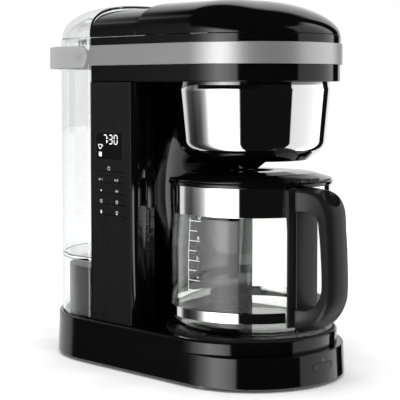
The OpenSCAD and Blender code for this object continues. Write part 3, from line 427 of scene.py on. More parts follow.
class Shop:
    """The finishes that the machine is made in."""

    gloss_black = MouldedPlastic("gloss_black", "gloss_black", roughness=0.07, smudge=0.05)
    roof_black = MouldedPlastic("roof_black", "gloss_black", roughness=0.05, smudge=0.03, grain=140.0)
    flap_black = MouldedPlastic(
        "flap_black", "gloss_black", (0.004, 0.004, 0.004), 0.34, 0.08, 1200.0, 0.000006)
    seat_black = MouldedPlastic("seat_black", "gloss_black", roughness=0.34, smudge=0.04, shine=0.16)
    satin_black = MouldedPlastic(
        "satin_black", "satin_black", (0.0028, 0.0028, 0.0028), 0.28, 0.08, 2200.0, 0.000012)
    # A very dark matt black used only for painted shade: the band round the front button.
    painted_shade_black = MouldedPlastic(
        "painted_shade_black", "satin_black", (0.001, 0.001, 0.001), 0.6, 0.1, 2200.0, 0.00001)
    grip_black = MouldedPlastic(
        "grip_black", "grip_black", (0.006, 0.006, 0.006), 0.38, 0.1, 1800.0, 0.000016)
    display_black = MouldedPlastic(
        "display_black", "display_black", (0.0008, 0.0008, 0.0008), 0.08, 0.02, 100.0, 0.000001)
    inner_plastic = MouldedPlastic(
        "inner_plastic", "inner_plastic", (0.02, 0.02, 0.021), 0.42, 0.12, 1500.0, 0.00002)
    plate_coating = MouldedPlastic(
        "plate_coating", "plate_coating", (0.005, 0.005, 0.005), 0.26, 0.14, 3200.0, 0.00001)
    rubber_black = MouldedPlastic(
        "rubber_black", "rubber_black", (0.008, 0.008, 0.008), 0.72, 0.12, 1400.0, 0.00003)
    hose_silicone = MouldedPlastic(
        "hose_silicone", "hose_silicone", (0.62, 0.62, 0.58), 0.4, 0.12, 500.0, 0.00002)
    valve_white = MouldedPlastic(
        "valve_white", "valve_white", (0.74, 0.73, 0.68), 0.34, 0.1, 900.0, 0.00001)
    band_steel = BrushedMetal("band_steel", "band_steel", (0.52, 0.52, 0.52), 0.37, 0.1, metal=0.72)
    mirror_steel = BrushedMetal(
        "mirror_steel", "mirror_steel", (0.93, 0.93, 0.93), 0.03, 0.02, (1.0, 1.0, 30.0), 0.0000004)
    plain_steel = BrushedMetal("plain_steel", "plain_steel", (0.58, 0.58, 0.57), 0.3, 0.2)
    cast_aluminium = BrushedMetal(
        "cast_aluminium", "cast_aluminium", (0.5, 0.5, 0.5), 0.5, 0.25, (12.0, 12.0, 12.0), 0.00008)
    carafe_glass = ClearMaterial("carafe_glass", "carafe_glass")
    tank_clear = ClearMaterial(
        "tank_clear", "tank_clear", (0.965, 0.97, 0.97), 1.45, 0.01, 0.00002)
    bail_grey = ClearMaterial(
        "bail_grey", "bail_grey", (0.66, 0.66, 0.66), 1.4, 0.35, 0.00001, 0.55)
    board_green = CircuitBoard("board_green", "board_green")
    mesh_gold = WovenMesh("mesh_gold", "mesh_gold")
    # White print on the panel with a small emission: a painted glow, since printed ink is no lamp.
    ink_white_painted_glow = PrintedInk("ink_white_painted_glow", "display_black", (0.75, 0.75, 0.75), 0.12)
    ink_grey = PrintedInk("ink_grey", "display_black", (0.3, 0.3, 0.3))
    lit_white = PrintedInk("lit_white", "display_black", (0.9, 0.9, 0.9), 0.9)
    # White level marks on the carafe with an emission: a painted glow, since printed ink is no lamp.
    scale_white_painted_glow = PrintedInk("scale_white_painted_glow", "carafe_glass", (0.85, 0.85, 0.85), 0.3)


# ---------------------------------------------------------------- mesh patches


def arc(cx: float, cy: float, r: float, start: float, end: float, steps: int) -> list[tuple[float, float]]:
    """Points on a circle's arc.

    Args:
        cx: Centre, first coordinate.
        cy: Centre, second coordinate.
        r: Radius.
        start: First angle in degrees.
        end: Last angle in degrees.
        steps: Number of chords.

    Returns:
        steps + 1 points.
    """
    turns = [math.radians(start + (end - start) * i / steps) for i in range(steps + 1)]
    return [(cx + r * math.cos(t), cy + r * math.sin(t)) for t in turns]


def skin(rings: Sequence[Loop], closed: bool = True, caps: tuple[bool, bool] = (False, False)) -> Patch:
    """Quads between rings of equal length.

    Args:
        rings: The rings, in order.
        closed: Whether each ring joins its own ends.
        caps: Whether the first and the last ring are filled.

    Returns:
        The patch.
    """
    wide = len(rings[0])
    points = [p for ring in rings for p in ring]
    across = wide if closed else wide - 1
    faces = [
        (i * wide + j, i * wide + (j + 1) % wide, (i + 1) * wide + (j + 1) % wide, (i + 1) * wide + j)
        for i in range(len(rings) - 1)
        for j in range(across)
    ]
    if caps[0]:
        faces.append(tuple(range(wide)))
    if caps[1]:
        faces.append(tuple(len(points) - wide + j for j in range(wide)))
    return points, faces


def plate(*loops: Loop) -> Patch:
    """A flat face inside the first loop, with the other loops as holes."""
    points = [p for loop in loops for p in loop]
    return points, [tuple(t) for t in tessellate_polygon(loops)]


def circle(r: float, z: float, steps: int = LATHE_STEPS) -> Loop:
    """A level ring of points round the brew axis."""
    return [Vector((x, y, z)) for x, y in arc(0, 0, r, 0, 360, steps)[:-1]]


def lathe(
    profile: Sequence[tuple[float, float]],
    start: float = 0.0,
    sweep: float = 360.0,
    centre: tuple[float, float] = (0.0, 0.0),
    closed: bool = False,
    steps: int = LATHE_STEPS,
) -> Patch:
    """Turns a (radius, height) profile about an upright axis.

    Args:
        profile: The profile's points.
        start: Angle in degrees where the turn starts.
        sweep: Angle that it covers; a part turn of a closed profile is capped.
        centre: Where the axis stands.
        closed: Whether the profile joins its own ends.
        steps: Steps in a full turn.

    Returns:
        The patch.
    """
    full = abs(sweep - 360.0) < 1e-6
    count = steps if full else max(2, round(steps * sweep / 360.0)) + 1
    turns = [math.radians(start + sweep * i / (count if full else count - 1)) for i in range(count)]
    rings = [
        [Vector((centre[0] + r * math.cos(t), centre[1] + r * math.sin(t), z)) for r, z in profile]
        for t in turns
    ]
    if full:
        rings.append(rings[0])
    ends = closed and not full
    return skin(rings, closed, (ends, ends))


def rounded(profile: Sequence[tuple[float, ...]], steps: int = 5) -> list[tuple[float, float]]:
    """Rounds the corners of an open or closed profile.

    Args:
        profile: Points (a, b) or (a, b, radius); a corner with a radius becomes an arc.
        steps: Chords in each arc.

    Returns:
        The new points.
    """
    made: list[tuple[float, float]] = []
    for index, point in enumerate(profile):
        here = Vector(point[:2])
        if len(point) < 3 or point[2] <= 0:
            made.append((here.x, here.y))
            continue
        before = Vector(profile[index - 1][:2]) - here
        after = Vector(profile[(index + 1) % len(profile)][:2]) - here
        half = before.angle(after) / 2
        reach = min(point[2] / math.tan(half), before.length * 0.49, after.length * 0.49)
        first = here + before.normalized() * reach
        last = here + after.normalized() * reach
        for i in range(steps + 1):
            t = i / steps
            spot = first * (1 - t) ** 2 + here * 2 * t * (1 - t) + last * t ** 2
            made.append((spot.x, spot.y))
    return made


class Piece:
    """One visible piece: a mesh in the frame's axes, with its modifiers, finish and body."""

    def __init__(self, name: str, *patches: Patch) -> None:
        """Welds the patches into one mesh.

        Args:
            name: The piece's name.
            patches: The patches, whose shared edges have equal points.
        """
        points: list[Vector] = []
        faces: list[tuple[int, ...]] = []
        for spots, cells in patches:
            base = len(points)
            points.extend(spots)
            faces.extend(tuple(base + i for i in cell) for cell in cells)
        mesh = bpy.data.meshes.new(name)
        mesh.from_pydata(points, [], faces)
        work = bmesh.new()
        work.from_mesh(mesh)
        bmesh.ops.remove_doubles(work, verts=work.verts, dist=WELD)
        bmesh.ops.dissolve_degenerate(work, dist=WELD, edges=work.edges)
        bmesh.ops.recalc_face_normals(work, faces=work.faces)
        work.to_mesh(mesh)
        work.free()
        self.object = bpy.data.objects.new(name, mesh)
        bpy.context.scene.collection.objects.link(self.object)

    def thicken(self, wall: float, outward: bool = False) -> "Piece":
        """Gives the surface a wall, inward unless told otherwise."""
        made = self.object.modifiers.new("wall", "SOLIDIFY")
        made.thickness = wall
        made.offset = 1.0 if outward else -1.0
        made.use_even_offset = True
        made.use_quality_normals = True
        return self

    def soften(self, width: float, segments: int = 3, angle: float = 40.0) -> "Piece":
        """Rounds the edges that are sharper than an angle in degrees."""
        made = self.object.modifiers.new("edges", "BEVEL")
        made.width = width
        made.segments = segments
        made.limit_method = "ANGLE"
        made.angle_limit = math.radians(angle)
        made.use_clamp_overlap = True
        return self

    def carve(self, tool: "Piece") -> "Piece":
        """Cuts another piece's shape out of this one, and removes the tool."""
        made = self.object.modifiers.new("cut", "BOOLEAN")
        made.operation = "DIFFERENCE"
        made.solver = "EXACT"
        made.object = tool.object
        self._apply()
        bpy.data.objects.remove(tool.object)
        return self

    def turn(self, degrees: float) -> "Piece":
        """Turns the mesh about the brew axis."""
        self.object.data.transform(Matrix.Rotation(math.radians(degrees), 4, "Z"))
        return self

    def finish(
        self, finish: Finish, body: str, *stood_for: str, angle: float = 32.0, even: bool = True
    ) -> bpy.types.Object:
        """Dresses the piece and hangs it on its body.

        Args:
            finish: Its finish.
            body: The body that it moves with.
            stood_for: The frame's nodes that it stands for.
            angle: Edges sharper than this many degrees stay crisp.
            even: Whether flat faces keep their own normals beside rounded edges.

        Returns:
            The object.
        """
        mesh = self.object.data
        mesh.shade_smooth()
        mesh.set_sharp_from_angle(angle=math.radians(angle))
        if even:
            made = self.object.modifiers.new("shading", "WEIGHTED_NORMAL")
            made.keep_sharp = True
            made.weight = 50
        mesh.materials.append(finish.material())
        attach(self.object, body)
        if stood_for:
            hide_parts(*stood_for)
        LOG.info(
            "%s rides on %s, in %s, for %s", self.object.name, body, finish.name, stood_for or "no node")
        return self.object

    def _apply(self) -> None:
        """Makes the modifiers' result the mesh."""
        graph = bpy.context.evaluated_depsgraph_get()
        made = bpy.data.meshes.new_from_object(self.object.evaluated_get(graph))
        made.name = self.object.name
        self.object.modifiers.clear()
        self.object.data = made


# ---------------------------------------------------------------- plans and layout


class Ends(Enum):
    """Which ends of a plan are round."""

    BOTH = (True, True)
    FRONT = (True, False)
    REAR = (False, True)


@dataclass(frozen=True)
class Plan:
    """Outline of the machine seen from above.

    Attributes:
        radius: Half its width.
        front: Centre of the round front end, or the flat front face.
        rear: Centre of the round rear end, or the flat rear face.
        ends: Which ends are round.
        corner: Radius of the corners at a flat end.
    """

    radius: float
    front: float
    rear: float
    ends: Ends
    corner: float = 0.001

    def outline(self, inset: float = 0.0) -> list[tuple[float, float]]:
        """The closed outline, the same number of points at any inset."""
        r = self.radius - inset
        c = max(self.corner - inset, 0.00002)
        if self.ends.value[1]:
            made = arc(0, self.rear, r, 0, 180, ARC_STEPS)
        else:
            y = self.rear - inset - c
            made = arc(r - c, y, c, 0, 90, CORNER_STEPS) + arc(c - r, y, c, 90, 180, CORNER_STEPS)
        if self.ends.value[0]:
            return made + arc(0, self.front, r, 180, 360, ARC_STEPS)
        y = self.front + inset + c
        return made + arc(c - r, y, c, 180, 270, CORNER_STEPS) + arc(r - c, y, c, 270, 360, CORNER_STEPS)

    def ring(self, inset: float, z: float) -> Loop:
        """The outline as a level ring."""
        return [Vector((x, y, z)) for x, y in self.outline(inset)]

    def wall(self, profile: Iterable[tuple[float, float]]) -> Patch:
        """A skin through (inset, height) pairs."""
        return skin([self.ring(inset, z) for inset, z in profile])


@dataclass(frozen=True)
class Layout:
    """Heights and radii of the machine, read from the frame's nodes."""

    foot_r: float
    foot_z: float
    plan_len: float
    deck_z: float
    tower_r: float
    lip_y: float
    split_y: float
    head_z: float
    band_r: float
    band_z: float
    collar_z: float
    rim_z: float
    roof_z: float
    roof_r: float
    lid_y: float

    @staticmethod
    def measure() -> "Layout":
        """Reads the frame."""
        base_low, base_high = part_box("base_housing")
        tower_low, tower_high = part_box("tower_housing")
        band_low, band_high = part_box("head_band")
        lid_low, lid_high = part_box("brew_lid")
        roof_low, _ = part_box("fixed_roof")
        return Layout(
            foot_r=base_high.x,
            foot_z=base_low.z,
            plan_len=base_high.y - base_high.x,
            deck_z=base_high.z,
            tower_r=tower_high.x,
            lip_y=tower_low.y,
            split_y=tower_high.y,
            head_z=tower_high.z,
            band_r=band_high.x,
            band_z=band_low.z - 0.1 * MM,
            collar_z=band_high.z + 0.1 * MM,
            rim_z=lid_low.z,
            roof_z=lid_high.z,
            roof_r=lid_high.x,
            lid_y=roof_low.y + 0.2 * MM,
        )


# ---------------------------------------------------------------- printed marks


class Segment(Enum):
    """Strokes of a seven-stroke digit, as (across, up) ends in a cell one wide and two high."""

    TOP = (0, 2, 1, 2)
    UPPER_LEFT = (0, 1, 0, 2)
    UPPER_RIGHT = (1, 1, 1, 2)
    MIDDLE = (0, 1, 1, 1)
    LOWER_LEFT = (0, 0, 0, 1)
    LOWER_RIGHT = (1, 0, 1, 1)
    BOTTOM = (0, 0, 1, 0)


DIGITS = {
    "0": "TOP UPPER_LEFT UPPER_RIGHT LOWER_LEFT LOWER_RIGHT BOTTOM",
    "1": "UPPER_RIGHT LOWER_RIGHT",
    "2": "TOP UPPER_RIGHT MIDDLE LOWER_LEFT BOTTOM",
    "3": "TOP UPPER_RIGHT MIDDLE LOWER_RIGHT BOTTOM",
    "4": "UPPER_LEFT UPPER_RIGHT MIDDLE LOWER_RIGHT",
    "6": "TOP UPPER_LEFT MIDDLE LOWER_LEFT LOWER_RIGHT BOTTOM",
    "7": "TOP UPPER_RIGHT LOWER_RIGHT",
    "8": "TOP UPPER_LEFT UPPER_RIGHT MIDDLE LOWER_LEFT LOWER_RIGHT BOTTOM",
}


class Print:
    """Marks on a surface, drawn as thin solid shapes in its own (across, up) metres."""

    def __init__(self, place: Callable[[float, float, float], Vector], film: float = 0.00004) -> None:
        """Starts an empty sheet.

        Args:
            place: Takes (across, up, lift off the surface) to a point in the frame.
            film: Thickness of the marks.
        """
        self.place = place
        self.film = film
        self.patches: list[Patch] = []

    def _slab(self, left: list[tuple[float, float]], right: list[tuple[float, float]]) -> None:
        """Adds a strip between two lines of points, as a closed slab."""
        rings = [
            [
                self.place(*a, 0.0), self.place(*b, 0.0),
                self.place(*b, self.film), self.place(*a, self.film),
            ]
            for a, b in zip(left, right)
        ]
        self.patches.append(skin(rings, True, (True, True)))

    def stroke(self, x0: float, y0: float, x1: float, y1: float, width: float) -> None:
        """A straight stroke with square ends."""
        run = Vector((x1 - x0, y1 - y0))
        side = Vector((-run.y, run.x)).normalized() * width / 2
        steps = max(1, math.ceil(run.length / (1.5 * MM)))
        line = [Vector((x0, y0)) + run * i / steps for i in range(steps + 1)]
        self._slab([tuple(p - side) for p in line], [tuple(p + side) for p in line])

    def hoop(self, x: float, y: float, r: float, width: float, start: float = 0.0, sweep: float = 360.0,
             tall: float = 1.0) -> None:
        """A ring or an arc of a ring, tall times as high as it is wide."""
        steps = max(6, round(sweep / 15))
        outer = arc(0, 0, r + width / 2, start, start + sweep, steps)
        inner = arc(0, 0, r - width / 2, start, start + sweep, steps)
        self._slab([(x + a, y + b * tall) for a, b in inner], [(x + a, y + b * tall) for a, b in outer])

    def spot(self, x: float, y: float, rx: float, ry: float) -> None:
        """A filled ellipse."""
        steps = 10
        turns = [math.pi * i / steps for i in range(steps + 1)]
        edge = [(x - rx * math.cos(t), ry * max(math.sin(t), 0.02)) for t in turns]
        self._slab([(a, y - b) for a, b in edge], [(a, y + b) for a, b in edge])

    def number(self, text: str, x: float, y: float, height: float, width: float, pitch: float) -> None:
        """Digits of seven strokes, from the lower left corner (x, y)."""
        cell = (height - width) / 2
        wide = cell * 1.05
        for index, digit in enumerate(text):
            left = x + index * pitch
            for name in DIGITS[digit].split():
                x0, y0, x1, y1 = Segment[name].value
                ease = 0.12 * cell
                dx, dy = (ease, 0.0) if y0 == y1 else (0.0, ease)
                self.stroke(
                    left + x0 * wide + dx, y + width / 2 + y0 * cell + dy,
                    left + x1 * wide - dx, y + width / 2 + y1 * cell - dy, width,
                )

    def piece(self, name: str) -> Piece:
        """All the marks as one piece."""
        return Piece(name, *self.patches)


# ---------------------------------------------------------------- base


@dataclass(frozen=True)
class Base:
    """Base with a step round its front, the warming plate, its seal and the front button.

    Attributes:
        plan: Heights and radii of the machine.
        flare: Lean of the wall between foot and step.
        step_rise: Height of the upper plinth.
        step_depth: How far the upper plinth stands back at the front.
        edge: Rounding of the deck's edge.
        button_z: Height of the front button.
    """

    plan: Layout
    flare: float = 1.5 * MM
    step_rise: float = 13 * MM
    step_depth: float = 8 * MM
    edge: float = 2.2 * MM
    button_z: float = 19 * MM

    def shell(self) -> None:
        """The moulded housing: wall, crescent ledge, plinth and deck with the plate's hole."""
        lay = self.plan
        step_z = lay.deck_z - self.step_rise
        lower = Plan(lay.foot_r, 0.0, lay.plan_len, Ends.BOTH)
        upper = Plan(lay.foot_r - self.flare, self.step_depth, lay.plan_len, Ends.BOTH)
        ahead = [max(0.0, -point.y / lay.foot_r) for point in lower.ring(0.0, 0.0)]
        round_of = [min(1.3 * MM, 0.4 * self.step_depth * a) for a in ahead]
        groove_of = [min(0.9 * MM, 0.3 * self.step_depth * a) for a in ahead]

        def ring(base: Plan, inset: Callable[[int], float], z: Callable[[int], float]) -> Loop:
            """A ring whose inset and height change round the plan."""
            return [base.ring(inset(i), z(i))[i] for i in range(len(ahead))]

        rings = [
            lower.ring(2.5 * MM, lay.foot_z),
            lower.ring(1.0 * MM, lay.foot_z),
            lower.ring(0.3 * MM, lay.foot_z + 0.3 * MM),
            lower.ring(0.0, lay.foot_z + 1.0 * MM),
        ]
        for k in range(6):
            t = math.radians(18 * k)
            rings.append(ring(
                lower,
                lambda i: self.flare + round_of[i] * (1 - math.cos(t)),
                lambda i: step_z - round_of[i] * (1 - math.sin(t)),
            ))
        rings.append(ring(upper, lambda i: 2 * groove_of[i], lambda i: step_z))
        rings.append(ring(upper, lambda i: 2 * groove_of[i], lambda i: step_z + groove_of[i]))
        rings.append(ring(upper, lambda i: 0.25 * groove_of[i], lambda i: step_z + groove_of[i]))
        rings.append(ring(upper, lambda i: 0.0, lambda i: step_z + 1.3 * groove_of[i]))
        for k in range(7):
            t = math.radians(15 * k)
            inward, down = self.edge * (1 - math.cos(t)), self.edge * (1 - math.sin(t))
            rings.append(upper.ring(inward, lay.deck_z - down))
        seal_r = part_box("plate_seal")[1].x
        hole = circle(seal_r - 0.5 * MM, lay.deck_z)
        well = circle(seal_r - 0.5 * MM, lay.deck_z - 4 * MM)
        Piece("base_shell", skin(rings), plate(rings[-1], hole), skin([hole, well])).finish(
            Shop.gloss_black, "housing", "base_housing", angle=50)

    def warming_plate(self) -> None:
        """The coated plate with its pressed ring, and the seal round it."""
        low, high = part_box("warming_plate")
        r, top = high.x, high.z
        lip = r - 1.5 * MM
        profile = rounded([
            (0.0, top - 0.5 * MM), (r - 17 * MM, top - 0.5 * MM, 1 * MM), (r - 15 * MM, top, 1 * MM),
            (r - 4 * MM, top, 2 * MM), (r, top - 0.9 * MM, 0.4 * MM), (r, top - 1.5 * MM, 0.3 * MM),
            (lip, top - 2.1 * MM, 0.3 * MM), (lip, low.z),
        ])
        Piece("warming_disc", lathe(profile)).finish(Shop.plate_coating, "housing", "warming_plate")
        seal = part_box("plate_seal")[1]
        deck = self.plan.deck_z
        bead = rounded([
            (lip + 0.3 * MM, deck - 1 * MM), (seal.x, deck - 1 * MM), (seal.x, deck + 0.6 * MM, 0.4 * MM),
            (r + 0.6 * MM, seal.z, 0.5 * MM), (lip + 0.3 * MM, seal.z, 0.3 * MM),
        ])
        Piece("plate_bead", lathe(bead, closed=True)).finish(Shop.rubber_black, "housing", "plate_seal")

    def on_wall(self, across: float, up: float, lift: float) -> Vector:
        """A point on the front wall, across from its middle and up from the button's centre."""
        lay = self.plan
        rise = (self.button_z + up - lay.foot_z) / (lay.deck_z - self.step_rise - lay.foot_z)
        r = lay.foot_r - self.flare * rise + lift
        turn = across / lay.foot_r
        return Vector((r * math.sin(turn), -r * math.cos(turn), self.button_z + up))

    def bar(self, half: float, tall: float, lift: float) -> Loop:
        """Outline of a round-ended bar on the front wall."""
        flat = half - tall
        ends = arc(flat, 0, tall, -90, 90, 10) + arc(-flat, 0, tall, 90, 270, 10)
        middle = [(flat - 2 * flat * i / 10, tall) for i in range(1, 10)]
        under = [(-flat + 2 * flat * i / 10, -tall) for i in range(1, 10)]
        return [self.on_wall(a, b, lift) for a, b in ends[:11] + middle + ends[11:] + under]

    def button(self) -> None:
        """The front button, a dark band of painted shade round it for its slot, and the ring above it."""
        low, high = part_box("front_button")
        half, tall = high.x, (high.z - low.z) / 2
        rings = [
            self.bar(half, tall, -3 * MM), self.bar(half, tall, -0.05 * MM),
            self.bar(half - 0.12 * MM, tall - 0.12 * MM, 0.1 * MM),
            self.bar(half - 0.5 * MM, tall - 0.5 * MM, 0.2 * MM),
            self.bar(half - 1.6 * MM, tall - 1.6 * MM, 0.12 * MM),
        ]
        Piece("button_cap", skin(rings, True, (True, True))).finish(
            Shop.gloss_black, "front_button", "front_button", angle=50)
        # The slot round the button is not cut: a thin dark band laid on the wall round the cap is painted
        # shade that stands for the gap.
        gap = 0.55 * MM
        slot = [
            self.bar(half + 0.04 * MM, tall + 0.04 * MM, 0.03 * MM),
            self.bar(half + gap, tall + gap, 0.03 * MM),
            self.bar(half + gap + 0.1 * MM, tall + gap + 0.1 * MM, -0.1 * MM),
        ]
        Piece("button_slot_painted_shade", skin(slot)).finish(Shop.painted_shade_black, "housing")
        mark = Print(self.on_wall)
        ring_up = 6.2 * MM
        mark.hoop(0, ring_up, 1.25 * MM, 0.3 * MM, 120, 300)
        mark.stroke(0, ring_up + 0.3 * MM, 0, ring_up + 1.9 * MM, 0.3 * MM)
        mark.piece("button_mark").finish(Shop.ink_grey, "housing")

    def build(self) -> None:
        """Builds the base."""
        self.shell()
        self.warming_plate()
        self.button()


# ---------------------------------------------------------------- tower and panel


@dataclass(frozen=True)
class Tower:
    """Tower behind the carafe, with the control panel let into its left side.

    Attributes:
        plan: Heights and radii of the machine.
        bay_r: Radius of the hollow front wall.
        corner: Radius of the lips' outer corners.
        seam_x: Where the side cover meets the front wall on the lip.
        wall: Thickness of the moulding.
    """

    plan: Layout
    bay_r: float = 94 * MM
    corner: float = 5.8 * MM
    seam_x: float = 72 * MM
    wall: float = 2.5 * MM

    def shell(self) -> None:
        """The tower's outside: sides, lips, hollow wall and back."""
        lay = self.plan
        r, front, rear = lay.tower_r, lay.lip_y, lay.split_y
        low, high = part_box("control_panel")
        mouth = math.degrees(math.asin(front / self.bay_r))
        lip_x = self.bay_r * math.cos(math.radians(mouth))
        nick = 0.45 * MM
        half: list[tuple[float, ...]] = [
            (self.seam_x - nick, front), (self.seam_x, front + nick), (self.seam_x + nick, front),
        ]
        c = self.corner
        outer = arc(r - c, front + c, c, -90, 0, 10)
        right = [(lip_x, front, 1.5 * MM), *half, *outer, (r, rear, 0.6 * MM)]
        recess = r - (high.x - low.x) - 0.2 * MM
        left = [
            (-r, rear, 0.6 * MM), (-r, high.y + 0.15 * MM), (-recess, high.y + 0.15 * MM),
            (-recess, low.y - 0.15 * MM), (-r, low.y - 0.15 * MM), *[(-x, y) for x, y in reversed(outer)],
            *[(-x, y) for x, y, *_ in reversed(half)], (-lip_x, front, 1.5 * MM),
        ]
        wall = arc(0, 0, self.bay_r, 180 - mouth - 1.5, mouth + 1.5, ARC_STEPS)
        outline = rounded(right + left + wall, 8)
        rings = [[Vector((x, y, z)) for x, y in outline] for z in (lay.deck_z, lay.head_z)]
        Piece("tower_shell", skin(rings)).thicken(self.wall).finish(
            Shop.gloss_black, "housing", "tower_housing", angle=30, even=False)

    def build(self) -> None:
        """Builds the tower."""
        self.shell()


@dataclass(frozen=True)
class Panel:
    """Control panel: plate, display window with its figures, nine keys and their marks.

    Attributes:
        plan: Heights and radii of the machine.
        slot_gap: Dark gap round a key.
        bevel: Rounding of the plate's edges and of its cut-outs.
    """

    plan: Layout
    slot_gap: float = 0.25 * MM
    bevel: float = 0.3 * MM

    @property
    def face(self) -> float:
        """Place of the plate's face on the X axis."""
        return -self.plan.tower_r

    def on_plate(self, across: float, up: float, lift: float) -> Vector:
        """A point on the plate, across towards the front and up from the table."""
        return Vector((self.face - lift, -across, up))

    def oblong(self, node: str, grow: float, depth: float) -> Loop:
        """A box with rounded corners round a node's outline, depth behind the face."""
        low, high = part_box(node)
        r = 0.6 * MM if node == "display_window" else (high.z - low.z) / 2 - 1 * MM
        z0, z1 = (low.z, high.z) if node == "display_window" else (low.z + 1 * MM, high.z - 1 * MM)
        y0, y1, z0, z1, r = low.y - grow, high.y + grow, z0 - grow, z1 + grow, r + grow
        corners = ((y1, z1, 0), (y0, z1, 90), (y0, z0, 180), (y1, z0, 270))
        made: Loop = []
        for (y, z, turn) in corners:
            cy, cz = y + (r if y == y0 else -r), z + (r if z == z0 else -r)
            made += [Vector((self.face + depth, a, b)) for a, b in arc(cy, cz, r, turn, turn + 90, 6)]
        return made

    def plate(self) -> None:
        """The plate, with a softened cut-out for the window and for each key."""
        low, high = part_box("control_panel")
        b, thick = self.bevel, high.x - low.x
        cuts = ["display_window", *KEYS]
        rims = [self.oblong(node, self.slot_gap + b, 0.0) for node in cuts]
        spans = [(low.y + k, high.y - k, low.z + k, high.z - k) for k in (b, 0.3 * b, 0.0)]
        depths = (0.0, 0.3 * b, b)

        def frame_at(span: tuple[float, ...], depth: float) -> Loop:
            """The plate's outline at a depth."""
            y0, y1, z0, z1 = span
            corners = ((y0, z0), (y1, z0), (y1, z1), (y0, z1))
            return [Vector((self.face + depth, y, z)) for y, z in corners]

        sides = [frame_at(span, depth) for span, depth in zip(spans, depths)]
        sides.append(frame_at(spans[-1], thick))
        patches = [plate(sides[0], *rims), skin(sides)]
        for node, rim in zip(cuts, rims):
            patches.append(skin([
                rim, self.oblong(node, self.slot_gap + 0.3 * b, 0.3 * b),
                self.oblong(node, self.slot_gap, b), self.oblong(node, self.slot_gap, thick),
            ]))
        Piece("side_panel", *patches).finish(Shop.satin_black, "housing", "control_panel", angle=60)

    def window(self) -> None:
        """The display's dark glass, with the time, a cup and a bean lit behind it."""
        low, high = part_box("display_window")
        sink = 0.15 * MM
        rings = [
            self.oblong("display_window", -k, d)
            for k, d in (
                (0.0, 1.2 * MM), (0.0, sink + 0.2 * MM), (0.06 * MM, sink + 0.06 * MM), (0.2 * MM, sink))
        ]
        Piece("display_glass", skin(rings, True, (True, True))).finish(
            Shop.display_black, "housing", "display_window", angle=50)
        lit = Print(lambda x, y, lift: self.on_plate(x, y, lift - sink))
        top = high.z - 1.4 * MM
        tall, bold = 9.4 * MM, 0.85 * MM
        line = -(low.y + 27.5 * MM)
        step = 7.4 * MM
        lit.number("7", line, top - tall, tall, bold, step)
        for up in (0.32, 0.64):
            lit.spot(line + 6.1 * MM, top - tall * (1 - up), 0.5 * MM, 0.5 * MM)
        lit.number("30", line + 8.0 * MM, top - tall, tall, bold, step)
        left = -(high.y - 5.6 * MM)
        cup_z = low.z + 12 * MM
        lit.stroke(left - 2.6 * MM, cup_z + 2 * MM, left + 2.6 * MM, cup_z + 2 * MM, 0.5 * MM)
        lit.hoop(left, cup_z + 2 * MM, 2.4 * MM, 0.5 * MM, 180, 180, 1.7)
        lit.hoop(left + 3.0 * MM, cup_z + 0.9 * MM, 0.9 * MM, 0.4 * MM, -90, 180)
        bean_z = low.z + 4.4 * MM
        lit.spot(left - 0.9 * MM, bean_z, 1.0 * MM, 2.5 * MM)
        lit.spot(left + 1.3 * MM, bean_z, 1.0 * MM, 2.5 * MM)
        lit.piece("display_figures").finish(Shop.lit_white, "housing")

    def keys(self) -> None:
        """Nine key bars with softened faces, each on its own body."""
        for node in KEYS:
            low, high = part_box(node)
            proud = -(low.x - self.face)
            edge = 0.35 * MM
            rings = [self.oblong(node, 0.0, high.x - self.face)]
            for k in range(5):
                t = math.radians(22.5 * k)
                rings.append(self.oblong(
                    node, -edge * (1 - math.cos(t)), -proud + edge * (1 - math.sin(t))))
            Piece(node + "_cap", skin(rings, True, (True, True))).finish(
                Shop.satin_black, node, node, angle=60)

    def marks(self) -> None:
        """The printed signs above the keys, in ink given a faint painted glow."""
        ink = Print(self.on_plate)
        up = 4.5 * MM
        fine = 0.42 * MM

        def above(node: str) -> tuple[float, float]:
            """Middle of the space above a key."""
            low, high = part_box(node)
            return -(low.y + high.y) / 2, (low.z + high.z) / 2 + up

        x, z = above("key_power")
        z += 0.6 * MM
        ink.hoop(x, z, 1.7 * MM, fine, 115, 310)
        ink.stroke(x, z + 0.4 * MM, x, z + 2.4 * MM, fine)
        for node, digit in (("key_2_left", "1"), ("key_2_right", "2")):
            x, z = above(node)
            ink.stroke(x - 3.6 * MM, z + 0.6 * MM, x - 0.6 * MM, z + 0.6 * MM, fine)
            ink.stroke(x - 3.6 * MM, z - 0.5 * MM, x - 0.6 * MM, z - 0.5 * MM, fine)
            ink.number(digit, x + 0.6 * MM, z - 1.3 * MM, 2.6 * MM, fine, 2 * MM)
        x, z = above("key_3_left")
        ink.spot(x, z, 1.0 * MM, 1.0 * MM)
        x, z = above("key_3_right")
        for k in (-1, 0, 1):
            ink.stroke(x + k * 1.5 * MM, z - 1 * MM, x + k * 1.5 * MM, z + 1 * MM, 0.6 * MM)
        for node in ("key_4_left", "key_4_right"):
            x, z = above(node)
            ink.hoop(x, z, 1.6 * MM, fine)
            ink.stroke(x, z, x, z + 1.1 * MM, fine)
            ink.stroke(x, z, x + 0.9 * MM, z, fine)
        x, z = above("key_5_left")
        ink.spot(x, z, 1.25 * MM, 1.9 * MM)
        x, z = above("key_5_right")
        ink.hoop(x, z, 1.3 * MM, fine, 0, 360, 1.35)
        ink.stroke(x, z - 1.7 * MM, x, z + 1.7 * MM, fine * 0.8)
        ink.piece("panel_marks").finish(Shop.ink_white_painted_glow, "housing")

    def build(self) -> None:
        """Builds the panel."""
        self.plate()
        self.window()
        self.keys()
        self.marks()


KEYS = ["key_power"] + [f"key_{row}_{side}" for row in range(2, 6) for side in ("left", "right")]


# ---------------------------------------------------------------- head and lids


